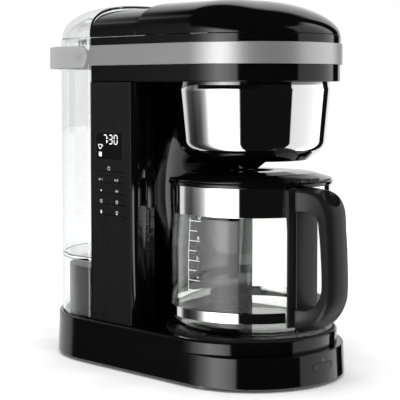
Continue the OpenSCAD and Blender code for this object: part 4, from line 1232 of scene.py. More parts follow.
@dataclass(frozen=True)
class Roof:
    """The crowned surface that the brew lid, the fixed roof and the tank lid share.

    Attributes:
        plan: Heights and radii of the machine.
        side: Squareness of the shoulder along the sides.
        front: Squareness towards the front end.
        rear: Squareness towards the rear end.
        wall: Thickness of the lids.
    """

    plan: Layout
    side: float = 3.0
    front: float = 1.8
    rear: float = 2.0
    wall: float = 2.4 * MM

    def point(self, foot: Vector, out: Vector, share: float, height: float) -> Vector:
        """A point of the surface.

        Args:
            foot: Point of the spine.
            out: Level direction away from the spine.
            share: Share of the radius, 0 at the spine and 1 at the rim.
            height: Height of the crown above the rim.

        Returns:
            The point.
        """
        end = self.front if out.y < 0 else self.rear
        square = end + (self.side - end) * abs(out.x) ** 6
        rise = max(0.0, 1 - share ** square) ** (1 / square)
        spot = foot + out * self.plan.roof_r * share
        return Vector((spot.x, spot.y, self.plan.rim_z + height * rise))

    def surface(self, spokes: Sequence[tuple[Vector, Vector]], height: float, closed: bool) -> Patch:
        """The skin over a fan of (spine point, direction) spokes."""
        rows = 40
        shares = [math.cos(math.radians(90 * i / rows)) for i in range(rows + 1)]
        rings = [
            [self.point(foot, out, max(share, 0.0), height) for foot, out in spokes] for share in shares
        ]
        return skin(rings, closed)

    def spokes(
        self, y0: float, y1: float, front: bool = False, rear: bool = False,
    ) -> list[tuple[Vector, Vector]]:
        """Spokes along the spine between y0 and y1, with a fan at each round end."""
        steps = max(2, round((y1 - y0) / (6 * MM)))
        run = [y0 + (y1 - y0) * i / steps for i in range(steps + 1)]
        right = [(Vector((0, y, 0)), Vector((1, 0, 0))) for y in run]
        left = [(Vector((0, y, 0)), Vector((-1, 0, 0))) for y in reversed(run)]

        def fan(y: float, start: float) -> list[tuple[Vector, Vector]]:
            """Half a turn of spokes round an end of the spine."""
            turns = [math.radians(start + 180 * i / 60) for i in range(1, 60)]
            return [(Vector((0, y, 0)), Vector((math.cos(t), math.sin(t), 0))) for t in turns]

        if front:
            return left + fan(y0, 180) + right
        if rear:
            return right + fan(y1, 0) + left
        return right


@dataclass(frozen=True)
class Head:
    """Head of the machine: skirt, steel band, collar, brew lid and fixed roof.

    Attributes:
        plan: Heights and radii of the machine.
        roof: The shared crowned surface.
        bridge_drop: How far the fixed roof lies below the brew lid.
        lid_bead: Thickness of the brew lid's bottom edge.
    """

    plan: Layout
    roof: Roof
    bridge_drop: float = 4 * MM
    lid_bead: float = 2.4 * MM

    def housing(self) -> None:
        """Skirt, collar and the two decks that carry the basket housing."""
        lay = self.plan
        skirt = Plan(lay.band_r - 2 * MM, 0.0, lay.split_y, Ends.FRONT, 0.8 * MM)
        rim = lay.rim_z - 0.3 * MM
        deck = lay.rim_z - 2.3 * MM
        profile = rounded([
            (2.5 * MM, lay.head_z), (0.0, lay.head_z, 1.1 * MM), (0.0, lay.band_z + 0.2 * MM),
            (-0.6 * MM, lay.band_z + 0.2 * MM), (-0.6 * MM, lay.collar_z - 0.2 * MM),
            (-0.5 * MM, lay.collar_z - 0.2 * MM), (-0.5 * MM, rim, 0.5 * MM), (1.6 * MM, rim, 0.3 * MM),
            (1.6 * MM, deck),
        ])
        pot_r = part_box("bowl_shell")[1].x - 0.75 * MM
        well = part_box("lid_gasket")[1].x - 7.5 * MM
        upper = skirt.ring(1.6 * MM, deck)
        lower = skirt.ring(2.5 * MM, lay.head_z)
        Piece(
            "head_shell", skirt.wall(profile), plate(upper, circle(well, deck)),
            plate(lower, circle(pot_r, lay.head_z)),
            skin([circle(well, deck), circle(well, deck - 2.2 * MM)]),
            skin([circle(pot_r, lay.head_z), circle(pot_r, lay.head_z + 2.2 * MM)]),
        ).finish(Shop.gloss_black, "housing", "head_housing", angle=50)

    def band(self) -> None:
        """The steel band, a closed loop round the head."""
        lay = self.plan
        band = Plan(lay.band_r, 0.0, lay.split_y, Ends.FRONT, 0.6 * MM)
        low, high = lay.band_z + 0.1 * MM, lay.collar_z - 0.1 * MM
        profile = rounded([
            (1.5 * MM, low), (0.0, low, 0.5 * MM), (0.0, high, 0.5 * MM), (1.5 * MM, high),
        ])
        Piece("steel_band", band.wall(profile)).finish(Shop.band_steel, "housing", "head_band", angle=50)

    def lid(self) -> None:
        """The brew lid with its hinge barrel."""
        lay = self.plan
        height = lay.roof_z - lay.rim_z
        seam = lay.lid_y - 0.5 * MM
        spokes = self.roof.spokes(0.0, seam, front=True)
        shell = Piece("lid_dome", self.roof.surface(spokes, height, False))
        shell.thicken(self.lid_bead).soften(0.5 * MM, 3, 50)
        shell.finish(Shop.roof_black, "lid", "brew_lid", angle=40)
        self.barrel("lid_barrel", 12 * MM, 0.0, "lid")

    def bridge(self) -> None:
        """The fixed roof between the brew lid and the tank, with the outer hinge barrels."""
        lay = self.plan
        height = lay.roof_z - lay.rim_z - self.bridge_drop
        front, rear = lay.lid_y + 0.3 * MM, lay.split_y - 0.2 * MM
        half = self.roof.surface(self.roof.spokes(front, rear), height, False)
        other = ([Vector((-p.x, p.y, p.z)) for p in half[0]], half[1])
        shell = Piece("roof_bridge", half, other)
        shell.thicken(self.lid_bead).soften(0.6 * MM, 3, 50)
        shell.finish(Shop.roof_black, "housing", "fixed_roof", angle=40)
        for side, name in ((-1, "bridge_barrel_left"), (1, "bridge_barrel_right")):
            self.barrel(name, 5.9 * MM, side * 18.2 * MM, "housing")

    def barrel(self, name: str, half: float, x: float, body: str) -> None:
        """A hinge barrel round the pin, with its web towards its own part."""
        low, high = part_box("hinge_pin")
        y, z, r = (low.y + high.y) / 2, (low.z + high.z) / 2, 2.4 * MM
        way = -1 if body == "lid" else 1
        reach = 3.4 * MM if way < 0 else 4.4 * MM
        outline = arc(y, z, r, 90 * way, 90 * way - 180 * way, 20)
        outline += [(y + way * reach, z - 1.4 * MM), (y + way * reach, z + 1.4 * MM)]
        outline = sorted(set(outline), key=lambda p: math.atan2(p[1] - z, p[0] - y))
        rings = [[Vector((x + side * half, a, b)) for a, b in outline] for side in (-1, 1)]
        Piece(name, skin(rings, True, (True, True))).soften(0.25 * MM, 2).finish(Shop.roof_black, body)

    def build(self) -> None:
        """Builds the head."""
        self.housing()
        self.band()
        self.lid()
        self.bridge()


# ---------------------------------------------------------------- basket housing


@dataclass(frozen=True)
class BasketHousing:
    """The bowl under the head, its mirror shell and the outlet.

    Attributes:
        plan: Heights and radii of the machine.
        taper: Inward lean of the wall.
        chamfer_w: Width of the bottom chamfer.
        chamfer_h: Height of the bottom chamfer.
        shell_sweep: Angle that the mirror shell covers round the front.
        turn_in: Rounding between the wall and the chamfer.
        brow: How far the shell's top edge rolls in under the head.
    """

    plan: Layout
    taper: float = 5 * MM
    chamfer_w: float = 16 * MM
    chamfer_h: float = 11 * MM
    shell_sweep: float = 232.0
    turn_in: float = 14 * MM
    brow: float = 1.2 * MM

    def bowl(self) -> None:
        """The black bowl."""
        low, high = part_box("basket_housing")
        top = self.plan.head_z
        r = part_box("bowl_shell")[1].x - 0.8 * MM
        z = low.z
        foot = r - self.taper
        profile = rounded([
            (15 * MM, z + 2.5 * MM), (15 * MM, z), (foot - self.chamfer_w, z, 1.2 * MM),
            (foot - 0.4 * MM, z + self.chamfer_h, self.turn_in), (r - 1.6 * MM, top - 8 * MM),
            (r - 2.2 * MM, top - 1 * MM), (r, top + 3 * MM),
            (high.x, top + 3.5 * MM, 0.4 * MM), (high.x, high.z, 0.4 * MM), (r - 2.5 * MM, high.z, 0.6 * MM),
            (foot - 2.5 * MM, z + self.chamfer_h + 1 * MM, 2 * MM),
            (foot - self.chamfer_w - 1 * MM, z + 2.5 * MM, 2 * MM),
        ])
        Piece("bowl_body", lathe(profile, closed=True)).finish(
            Shop.gloss_black, "housing", "basket_housing", angle=50)

    def shell(self) -> None:
        """The mirror-polished shell, with rolled edges."""
        low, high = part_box("bowl_shell")
        r = high.x
        foot = r - self.taper
        t = 0.75 * MM
        inner = low.z + 0.8 * MM
        profile = rounded([
            (r - t - self.brow, high.z), (r - self.brow, high.z), (r, high.z - 7 * MM, 9 * MM),
            (foot, inner + self.chamfer_h, self.turn_in),
            (foot - self.chamfer_w, low.z + 0.1 * MM, 0.3 * MM),
            (foot - self.chamfer_w - 0.1 * MM, inner + 0.2 * MM),
            (foot - t, inner + self.chamfer_h + 0.3 * MM, self.turn_in),
            (r - t, high.z - 7 * MM, 9 * MM),
        ], 9)
        start = -90 - self.shell_sweep / 2
        Piece("mirror_bowl", lathe(profile, start, self.shell_sweep, closed=True, steps=216)).finish(
            Shop.mirror_steel, "housing", "bowl_shell", angle=50)

    def outlet(self) -> None:
        """The outlet cone under the bowl."""
        low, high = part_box("drip_outlet")
        tip = 6.5 * MM
        profile = rounded([
            (3.3 * MM, low.z + 3 * MM), (3.3 * MM, low.z, 0.4 * MM), (tip, low.z, 0.6 * MM),
            (18 * MM, low.z + 9.2 * MM, 1 * MM), (high.x - 0.2 * MM, low.z + 9.2 * MM, 0.4 * MM),
            (high.x - 0.2 * MM, low.z + 10.4 * MM), (9 * MM, low.z + 10.4 * MM), (9 * MM, low.z + 3 * MM),
        ])
        Piece("outlet_cone", lathe(profile, closed=True)).finish(
            Shop.gloss_black, "housing", "drip_outlet", angle=50)

    def build(self) -> None:
        """Builds the basket housing."""
        self.bowl()
        self.shell()
        self.outlet()


# ---------------------------------------------------------------- water tank


@dataclass(frozen=True)
class Tank:
    """Clear water tank with its pedestal, domed lid and bail handle.

    Attributes:
        plan: Heights and radii of the machine.
        roof: The shared crowned surface.
        wall: Thickness of the tank's wall.
        floor: Thickness of the tank's floor.
        corner: Radius of the tank's front corners.
    """

    plan: Layout
    roof: Roof
    wall: float = 2.2 * MM
    floor: float = 3.0 * MM
    corner: float = 4.0 * MM

    def body(self) -> None:
        """The tank: wall, floor and the outlet neck under it, as one closed skin."""
        low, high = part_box("tank_shell")
        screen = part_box("tank_screen")[0]
        valve_low, valve_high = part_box("tank_valve")
        axis = Vector(((valve_low.x + valve_high.x) / 2, (valve_low.y + valve_high.y) / 2, 0))
        top = self.plan.rim_z - 0.5 * MM
        floor_z = screen.z - self.floor
        plan = Plan(high.x, low.y, self.plan.plan_len, Ends.REAR, self.corner)
        w = self.wall
        outer = rounded([
            (w, floor_z, 1.5 * MM), (w, low.z, 0.5 * MM), (0.0, low.z, 1.2 * MM), (0.0, top, 0.9 * MM),
            (w, top, 0.9 * MM), (w, screen.z, 1.5 * MM), (w + 3 * MM, screen.z),
        ])
        outer[0:1] = [(w + 3 * MM, floor_z), outer[0]]
        neck_in, neck_out, mouth = 8.5 * MM, 11 * MM, low.z + 38 * MM
        rings = [(neck_out, floor_z), (neck_out, mouth), (neck_in, mouth), (neck_in, screen.z)]
        neck = [[p + axis for p in circle(r, z, 48)] for r, z in rings]
        Piece(
            "tank_body", plan.wall(outer), plate(plan.ring(*outer[0]), neck[0]), skin(neck),
            plate(plan.ring(*outer[-1]), neck[-1]),
        ).finish(Shop.tank_clear, "tank", "tank_shell", angle=50)
        self.lugs()

    def lugs(self) -> None:
        """The two lugs behind the rim that hold the lid's pin."""
        low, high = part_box("tank_lid_pin")
        y, z, half = (low.y + high.y) / 2, (low.z + high.z) / 2, 2 * MM
        outline = arc(y, z, 2.8 * MM, -60, 180, 20)
        outline += [(y - 2.8 * MM, z - 9 * MM), (y + 1.4 * MM, z - 9 * MM)]
        for side, name in ((-1, "lid_lug_left"), (1, "lid_lug_right")):
            x = side * (high.x - 2.2 * MM)
            rings = [[Vector((x + way * half, a, b)) for a, b in outline] for way in (-1, 1)]
            Piece(name, skin(rings, True, (True, True))).soften(0.3 * MM, 2).finish(Shop.tank_clear, "tank")

    def pedestal(self) -> None:
        """The black seat that the tank's skirt stands over."""
        low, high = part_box("tank_seat")
        plan = Plan(high.x, low.y, self.plan.plan_len, Ends.REAR, self.corner)
        cap = 20 * MM
        profile = rounded([
            (0.0, low.z), (0.0, high.z - 1 * MM, 2.0 * MM), (3 * MM, high.z, 1.5 * MM), (cap, high.z)])
        top = plan.ring(cap, high.z)
        valve_low, valve_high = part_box("tank_valve")
        axis = Vector(((valve_low.x + valve_high.x) / 2, (valve_low.y + valve_high.y) / 2, 0))
        socket = [[p + axis for p in circle(12.6 * MM, z, 48)] for z in (high.z, high.z - 12 * MM)]
        well = skin(socket, True, (False, True))
        Piece("pedestal", plan.wall(profile), plate(top, socket[0]), well).finish(
            Shop.seat_black, "housing", "tank_seat", angle=50)

    def lid(self) -> None:
        """The clear domed lid, cut out round its hinge."""
        lay = self.plan
        height = lay.roof_z - lay.rim_z
        low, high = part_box("tank_lid_pin")
        y0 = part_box("tank_lid")[0].y
        spokes = self.roof.spokes(y0, lay.plan_len, rear=True)
        dome = Piece("tank_dome", self.roof.surface(spokes, height, False))
        dome.thicken(self.roof.wall).soften(0.6 * MM, 3, 50)
        x, y, z = high.x + 0.7 * MM, low.y - 6 * MM, low.z + 2.6 * MM
        corners = [(-x, y), (x, y), (x, y + 30 * MM), (-x, y + 30 * MM)]
        block = [[Vector((a, b, c)) for a, b in corners] for c in (z - 30 * MM, z)]
        dome.carve(Piece("hinge_room", skin(block, True, (True, True))))
        dome.finish(Shop.tank_clear, "tank_lid", "tank_lid", angle=40)
        mid_y, mid_z = (low.y + high.y) / 2, (low.z + high.z) / 2
        outline = arc(mid_y, mid_z, 2.8 * MM, -200, 80, 24) + [(mid_y - 7 * MM, mid_z + 3.2 * MM)]
        rings = [[Vector((s * (high.x - 5.4 * MM), a, b)) for a, b in outline] for s in (-1, 1)]
        Piece("dome_hinge", skin(rings, True, (True, True))).soften(0.3 * MM, 2).finish(
            Shop.tank_clear, "tank_lid")

    def bail(self) -> None:
        """The carrying handle: two arms with round pivots and a half loop."""
        low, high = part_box("bail_handle")
        pin_low, pin_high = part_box("bail_pins")
        pivot = (pin_low.y + pin_high.y) / 2
        middle, tall = (low.z + high.z) / 2, (high.z - low.z) / 2
        t = 3 * MM
        r = high.x
        loop_y = high.y - r
        nose = pivot - low.y
        edge = 1.2 * MM
        path: list[tuple[Vector, Vector, float]] = []
        for k in range(13):
            turn = math.radians(4 + 86 * k / 12)
            half = min(tall, nose * math.sin(turn))
            path.append((Vector((1, pivot - nose * math.cos(turn))), Vector((1, 0)), half))
        for k in range(1, 5):
            path.append((Vector((1, pivot + (loop_y - pivot) * k / 4)), Vector((1, 0)), tall))
        stations = [(Vector((r, p.y)), n, h) for p, n, h in path]
        for k in range(1, 48):
            turn = math.pi * k / 48
            way = Vector((math.cos(turn), math.sin(turn)))
            stations.append((Vector((0, loop_y)) + way * r, way, tall))
        stations += [(Vector((-r, p.y)), Vector((-1, 0)), h) for p, n, h in reversed(path)]
        rings = []
        for spot, out, half in stations:
            e = min(edge, half * 0.6)
            profile = rounded([
                (0.0, middle - half, e), (0.0, middle + half, e),
                (t, middle + half, e), (t, middle - half, e),
            ])
            rings.append([Vector((*(spot - out * a), b)) for a, b in profile])
        Piece("bail_loop", skin(rings, True, (True, True))).finish(
            Shop.bail_grey, "bail", "bail_handle", angle=50)

    def build(self) -> None:
        """Builds the tank."""
        self.body()
        self.pedestal()
        self.lid()
        self.bail()


# ---------------------------------------------------------------- carafe


# Inner and outer edge of the grip's side view, from its top to its foot: (distance from the
# brew axis, height) pairs in millimetres.
GRIP_STATIONS = (
    ((84, 164), (84, 186.5)),
    ((92, 164.5), (93, 186.5)),
    ((100, 164.5), (104, 186)),
    ((106, 164), (113, 184.5)),
    ((111, 162.5), (120, 180.5)),
    ((114.5, 159.5), (125.5, 173)),
    ((116, 155), (128.3, 163)),
    ((117, 148), (129.3, 152)),
    ((118.5, 138), (130.5, 139)),
    ((119.8, 124), (131.4, 124)),
    ((120.8, 110), (132, 109)),
    ((121, 101.7), (132, 98)),
    ((120.5, 95.5), (131, 87)),
    ((118, 89.5), (127.5, 78.5)),
    ((114, 84), (122, 70.5)),
    ((108.5, 79.5), (114.5, 63.5)),
    ((101, 76.3), (105, 58.6)),
    ((93, 75), (94, 55)),
    ((84, 74.5), (84, 52.5)),
)


@dataclass(frozen=True)
class Carafe:
    """Glass jug with a mirror band, black collar, flip lid and handle.

    Attributes:
        turn: Direction of the handle, in degrees round the brew axis.
        wall: Thickness of the glass.
        foot_round: Radius of the glass's foot.
        band_t: Thickness of the band.
        ring_gap: Angle left open on each side of the bracket by the ring round the foot.
        flap_turn: Direction that the lid's crease faces.
        flap_at: Distance from the axis to the crease.
        bulge: How far the grip's back bows out between its edges.
    """

    turn: float = 259.0
    wall: float = 2.4 * MM
    foot_round: float = 13 * MM
    band_t: float = 1.0 * MM
    ring_gap: float = 13.5
    flap_turn: float = 285.0
    flap_at: float = 20 * MM
    bulge: float = 4.5 * MM

    def outline(self, inset: float) -> list[tuple[float, float]]:
        """The glass's side, inset from its outer face, from the foot to the rim."""
        low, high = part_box("carafe_glass")
        band_low, band_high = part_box("carafe_band")
        r, neck = high.x, band_high.x - self.band_t
        height = high.z - low.z
        foot = arc(r - self.foot_round, low.z + self.foot_round, self.foot_round - inset, -90, 0, 12)
        side = rounded([
            foot[-1], (r - inset, low.z + height * 0.55, 60 * MM),
            (neck + 0.6 * MM - inset, band_low.z - 3 * MM, 8 * MM),
            (neck - inset, band_low.z, 4 * MM), (neck - inset, high.z - 1 * MM),
        ], 8)
        return foot + side[1:]

    def radius(self, z: float) -> float:
        """Outer radius of the glass at a height."""
        side = self.outline(0.0)
        for (r0, z0), (r1, z1) in zip(side, side[1:]):
            if z0 <= z <= z1 and z1 > z0:
                return r0 + (r1 - r0) * (z - z0) / (z1 - z0)
        return side[-1][0]

    def glass(self) -> None:
        """The jug, with a thicker middle in its floor and a rounded rim."""
        low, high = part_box("carafe_glass")
        inner = list(reversed(self.outline(self.wall)))
        neck = self.outline(0.0)[-1][0]
        rim = arc(neck - self.wall / 2, high.z - self.wall / 2, self.wall / 2, 0, 180, 8)
        under = [
            (0.0, low.z + 1.2 * MM), (30 * MM, low.z + 1.0 * MM),
            (58 * MM, low.z + 0.6 * MM), (63 * MM, low.z),
        ]
        inside = [(58 * MM, low.z + self.wall + 0.3 * MM), (0.0, low.z + self.wall + 1.4 * MM)]
        profile = rounded([under[0], (*under[1], 20 * MM), (*under[2], 3 * MM), (*under[3], 2 * MM)]) \
            + self.outline(0.0)[:-1] + rim + inner[1:] + inside
        Piece("glass_jug", lathe(profile)).finish(Shop.carafe_glass, "carafe", "carafe_glass", angle=60)

    def trim(self) -> None:
        """The mirror band and the collar above it."""
        low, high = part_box("carafe_band")
        r, t = high.x, self.band_t - 0.1 * MM
        Piece("jug_band", lathe(rounded([
            (r - t, low.z), (r, low.z, 0.5 * MM), (r, high.z, 0.5 * MM), (r - t, high.z),
        ]), closed=True)).finish(Shop.mirror_steel, "carafe", "carafe_band", angle=50)
        self.foot_ring()
        low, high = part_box("carafe_collar")
        neck = r - self.band_t
        Piece("jug_collar", lathe(rounded([
            (neck - self.wall - 0.4 * MM, low.z), (neck - self.wall - 0.2 * MM, high.z - 4 * MM),
            (neck + 0.1 * MM, high.z - 3.6 * MM), (neck + 0.1 * MM, high.z - 4.0 * MM),
            (neck + 2.3 * MM, high.z - 4.0 * MM, 0.8 * MM), (high.x, high.z - 1 * MM, 0.6 * MM),
            (high.x - 1 * MM, high.z, 0.5 * MM), (neck - self.wall - 2 * MM, high.z - 1 * MM, 0.5 * MM),
        ]), closed=True)).finish(Shop.gloss_black, "carafe", "carafe_collar", angle=50)

    def foot_ring(self) -> None:
        """The mirror ring round the foot, open at the handle's bracket."""
        low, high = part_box("carafe_base_band")
        r, t, gap = high.x, self.band_t - 0.1 * MM, self.ring_gap
        profile = rounded([(r - t, low.z), (r, low.z, 0.4 * MM), (r, high.z, 0.4 * MM), (r - t, high.z)])
        Piece("jug_foot_ring", lathe(profile, self.turn + gap, 360 - 2 * gap, closed=True)).finish(
            Shop.mirror_steel, "carafe", "carafe_base_band", angle=50)

    def lid(self) -> None:
        """The lid's dome, with the flat flap that runs out to the thumb tab."""
        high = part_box("carafe_lid")[1]
        top = high.z
        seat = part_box("carafe_collar")[1].z + 0.3 * MM
        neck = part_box("carafe_band")[1].x - self.band_t
        plug = neck - self.wall - 2.6 * MM
        dome = rounded([
            (5 * MM, top - 5 * MM, 0.5 * MM), (neck - 6 * MM, seat - 2.6 * MM, 2 * MM),
            (plug, seat - 4 * MM, 0.5 * MM),
            (plug, seat), (neck + 1.7 * MM, seat, 0.3 * MM), (neck + 1.6 * MM, seat + 1.4 * MM, 1 * MM),
            (neck - 16 * MM, top - 1.6 * MM, 8 * MM), (40 * MM, top, 8 * MM), (24 * MM, top, 1.5 * MM),
            (16 * MM, top - 2.5 * MM, 1.5 * MM), (5 * MM, top - 2.8 * MM, 0.8 * MM),
        ], 8)
        Piece("lid_disc", lathe(dome, closed=True)).finish(
            Shop.gloss_black, "carafe", "carafe_lid", angle=50)
        face = math.radians(self.flap_turn)
        out, along = Vector((math.cos(face), math.sin(face))), Vector((-math.sin(face), math.cos(face)))
        tab = math.radians(self.turn)
        ray, side = Vector((math.cos(tab), math.sin(tab))), Vector((-math.sin(tab), math.cos(tab)))
        end = self.tab_end()
        wide = 11 * MM
        edge = [
            out * self.flap_at + along * 33 * MM, out * self.flap_at - along * 33 * MM,
            ray * (end - 18 * MM) - side * wide, ray * (end - 5 * MM) - side * wide,
            ray * end - side * (wide - 5 * MM),
            ray * end + side * (wide - 5 * MM), ray * (end - 5 * MM) + side * wide,
            ray * (end - 18 * MM) + side * (wide + 7 * MM),
        ]

        def slope(p: Vector) -> float:
            """Height of the flap's top over a point."""
            return top - 1.0 * MM - 1.6 * MM * max(0.0, p.dot(ray) - self.flap_at) / (end - self.flap_at)

        under = [Vector((p.x, p.y, seat + 1.2 * MM)) for p in edge]
        rings = [under, [Vector((p.x, p.y, slope(p))) for p in edge]]
        Piece("lid_flap", skin(rings, True, (True, True))).soften(0.8 * MM, 3, 25).finish(
            Shop.flap_black, "carafe", angle=50)

    def tab_end(self) -> float:
        """Distance from the axis to the end of the thumb tab."""
        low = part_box("carafe_lid")[0]
        return -low.y / math.cos(math.radians(270 - self.turn)) - 1.2 * MM

    def stations(self) -> list[tuple[Vector, Vector]]:
        """Inner and outer points of the grip's side view, as a smooth line through its stations."""
        glass_low, glass_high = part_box("carafe_glass")
        base, scale = glass_low.z, (glass_high.z - glass_low.z) / (138 * MM)
        points = [
            [Vector((rho * MM, base + (z - 48.3) * MM * scale)) for rho, z in pair] for pair in GRIP_STATIONS
        ]
        made: list[tuple[Vector, Vector]] = []
        last = len(points) - 1
        for k in range(last):
            around = [points[min(max(j, 0), last)] for j in (k - 1, k, k + 1, k + 2)]
            for step in range(4):
                made.append(tuple(self.between([p[side] for p in around], step / 4) for side in (0, 1)))
        made.append(tuple(points[-1]))
        return made

    @staticmethod
    def between(p: Sequence[Vector], t: float) -> Vector:
        """A point between p[1] and p[2] on a smooth line through four points."""
        return (
            p[1] * 2 + (p[2] - p[0]) * t + (p[0] * 2 - p[1] * 5 + p[2] * 4 - p[3]) * t ** 2
            + (p[1] * 3 - p[0] - p[2] * 3 + p[3]) * t ** 3
        ) / 2

    def handle(self) -> None:
        """The grip, a bowed bar with a rounded back, and its bracket against the glass."""
        glass_low, glass_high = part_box("carafe_glass")
        top, low = glass_high.z + 0.2 * MM, glass_low.z + 4.2 * MM
        wide, lip = 25.8 * MM, 1.2 * MM
        rings = []
        for inner, outer in self.stations():
            way = outer - inner
            deep = way.length - 0.1 * MM
            way.normalize()
            bulge = min(self.bulge, deep * 0.35)
            flank = deep - bulge
            w = wide / 2
            section = rounded([(flank, -w), (0.0, -w, lip), (0.0, w, lip), (flank, w)], 5)
            for k in range(1, 18):
                s = 1 - 2 * k / 18
                section.append((flank + bulge * (1 - abs(s) ** 2.2) ** 0.75, w * s))
            rings.append([Vector((inner.x + way.x * d, s, inner.y + way.y * d)) for d, s in section])
        grip = Piece("jug_grip", skin(rings, True, (True, True)))
        self.scoop(grip)
        grip.turn(self.turn).finish(Shop.grip_black, "carafe", "carafe_handle", angle=40)
        r = glass_high.x
        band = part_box("carafe_band")
        bracket = rounded([
            (r + 0.2 * MM, low + 4 * MM), (r + 2 * MM, low + 4 * MM, 1 * MM),
            (r + 2.6 * MM, low + 10 * MM, 4 * MM),
            (r + 2.6 * MM, band[0].z - 8 * MM, 4 * MM), (r + 2.2 * MM, top - 3 * MM, 0.8 * MM),
            (band[1].x + 0.1 * MM, top - 3 * MM), (band[1].x + 0.1 * MM, band[0].z - 0.5 * MM),
            (r + 0.2 * MM, band[0].z - 12 * MM),
        ])
        Piece("jug_bracket", lathe(bracket, self.turn - 12.5, 25, closed=True, steps=288)).soften(
            0.5 * MM, 2, 60).finish(Shop.grip_black, "carafe", angle=40)
        Piece("jug_strap", lathe(rounded([
            (r + 2 * MM, low + 2 * MM), (r + 5 * MM, low + 2 * MM, 1.5 * MM),
            (r + 5 * MM, top - 1 * MM, 1.5 * MM),
            (r + 2 * MM, top - 1 * MM),
        ]), self.turn - 7.1, 14.2, closed=True, steps=288)).soften(0.6 * MM, 2, 60).finish(
            Shop.grip_black, "carafe", angle=40)

    def scoop(self, grip: Piece) -> None:
        """Presses a deep oval thumb rest into the grip's upper corner."""
        tool = Piece("thumb", lathe([
            (max(0.0, math.cos(math.radians(a))), math.sin(math.radians(a))) for a in range(-90, 91, 6)
        ], steps=60))
        size = Matrix.Diagonal((13 * MM, 9.8 * MM, 13 * MM, 1))
        tilt = Matrix.Rotation(math.radians(90 - 52), 4, "Y")
        tool.object.data.transform(Matrix.Translation((121 * MM, 0, 183.5 * MM)) @ tilt @ size)
        grip.carve(tool)

    def scale(self) -> None:
        """The printed level marks on the side of the glass, given a painted glow."""
        first, last, count = 153.7 * MM, 89.3 * MM, 8

        def on_glass(across: float, up: float, lift: float) -> Vector:
            """A point on the glass, across from the marks' left end and up from the table."""
            r = self.radius(up) + lift + 0.02 * MM
            turn = math.radians(175.5) + across / r
            return Vector((r * math.cos(turn), r * math.sin(turn), up))

        ink = Print(on_glass)
        fine = 0.6 * MM
        ink.stroke(0.0, last - 3 * MM, 0.0, first + 2.5 * MM, fine)
        for k in range(count):
            z = first + (last - first) * k / (count - 1)
            ink.stroke(0.0, z, (14 if k % 2 == 0 else 10) * MM, z, fine)
        ink.number("12", 9.0 * MM, first + 1.6 * MM, 3.4 * MM, 0.5 * MM, 2.6 * MM)
        for k, digit in ((2, "8"), (4, "6"), (6, "4")):
            z = first + (last - first) * k / (count - 1)
            ink.number(digit, 11.0 * MM, z + 1.4 * MM, 3.0 * MM, 0.5 * MM, 2.6 * MM)
        ink.piece("level_marks").finish(Shop.scale_white_painted_glow, "carafe")

    def build(self) -> None:
        """Builds the carafe."""
        self.glass()
        self.trim()
        self.lid()
        self.handle()
        self.scale()


# ---------------------------------------------------------------- inner parts


@dataclass(frozen=True)
class InnerParts:
    """Parts that keep the frame's own meshes, and the finish that each one gets."""

    finishes: tuple[tuple[Finish, str], ...] = (
        (Shop.inner_plastic, "base_cover display_module"),
        (Shop.rubber_black, "rubber_feet plate_seal lid_gasket seat_gasket"),
        (Shop.plain_steel, "base_screws thermostats hose_clamps hinge_pin drip_spring valve_spring "
                           "tank_lid_pin"),
        (Shop.bail_grey, "bail_pins"),
        (Shop.cast_aluminium, "heating_element"),
        (Shop.board_green, "power_board control_board"),
        (Shop.satin_black, "cord_gland shower_head"),
        (Shop.hose_silicone, "inlet_hose riser_hose"),
        (Shop.valve_white, "check_valve tank_valve drip_stop"),
        (Shop.gloss_black, "brew_basket"),
        (Shop.mesh_gold, "mesh_filter"),
        (Shop.tank_clear, "tank_screen"),
    )

    def build(self, nodes: dict[str, bpy.types.Object]) -> None:
        """Dresses the nodes.

        Args:
            nodes: The frame's nodes by name.
        """
        for finish, names in self.finishes:
            for name in names.split():
                found = nodes.get(name)
                if found is None:
                    continue
                for holder in found.material_slots:
                    holder.material = finish.material()
                LOG.info("%s keeps its own mesh, in %s", name, finish.name)


# ---------------------------------------------------------------- studio


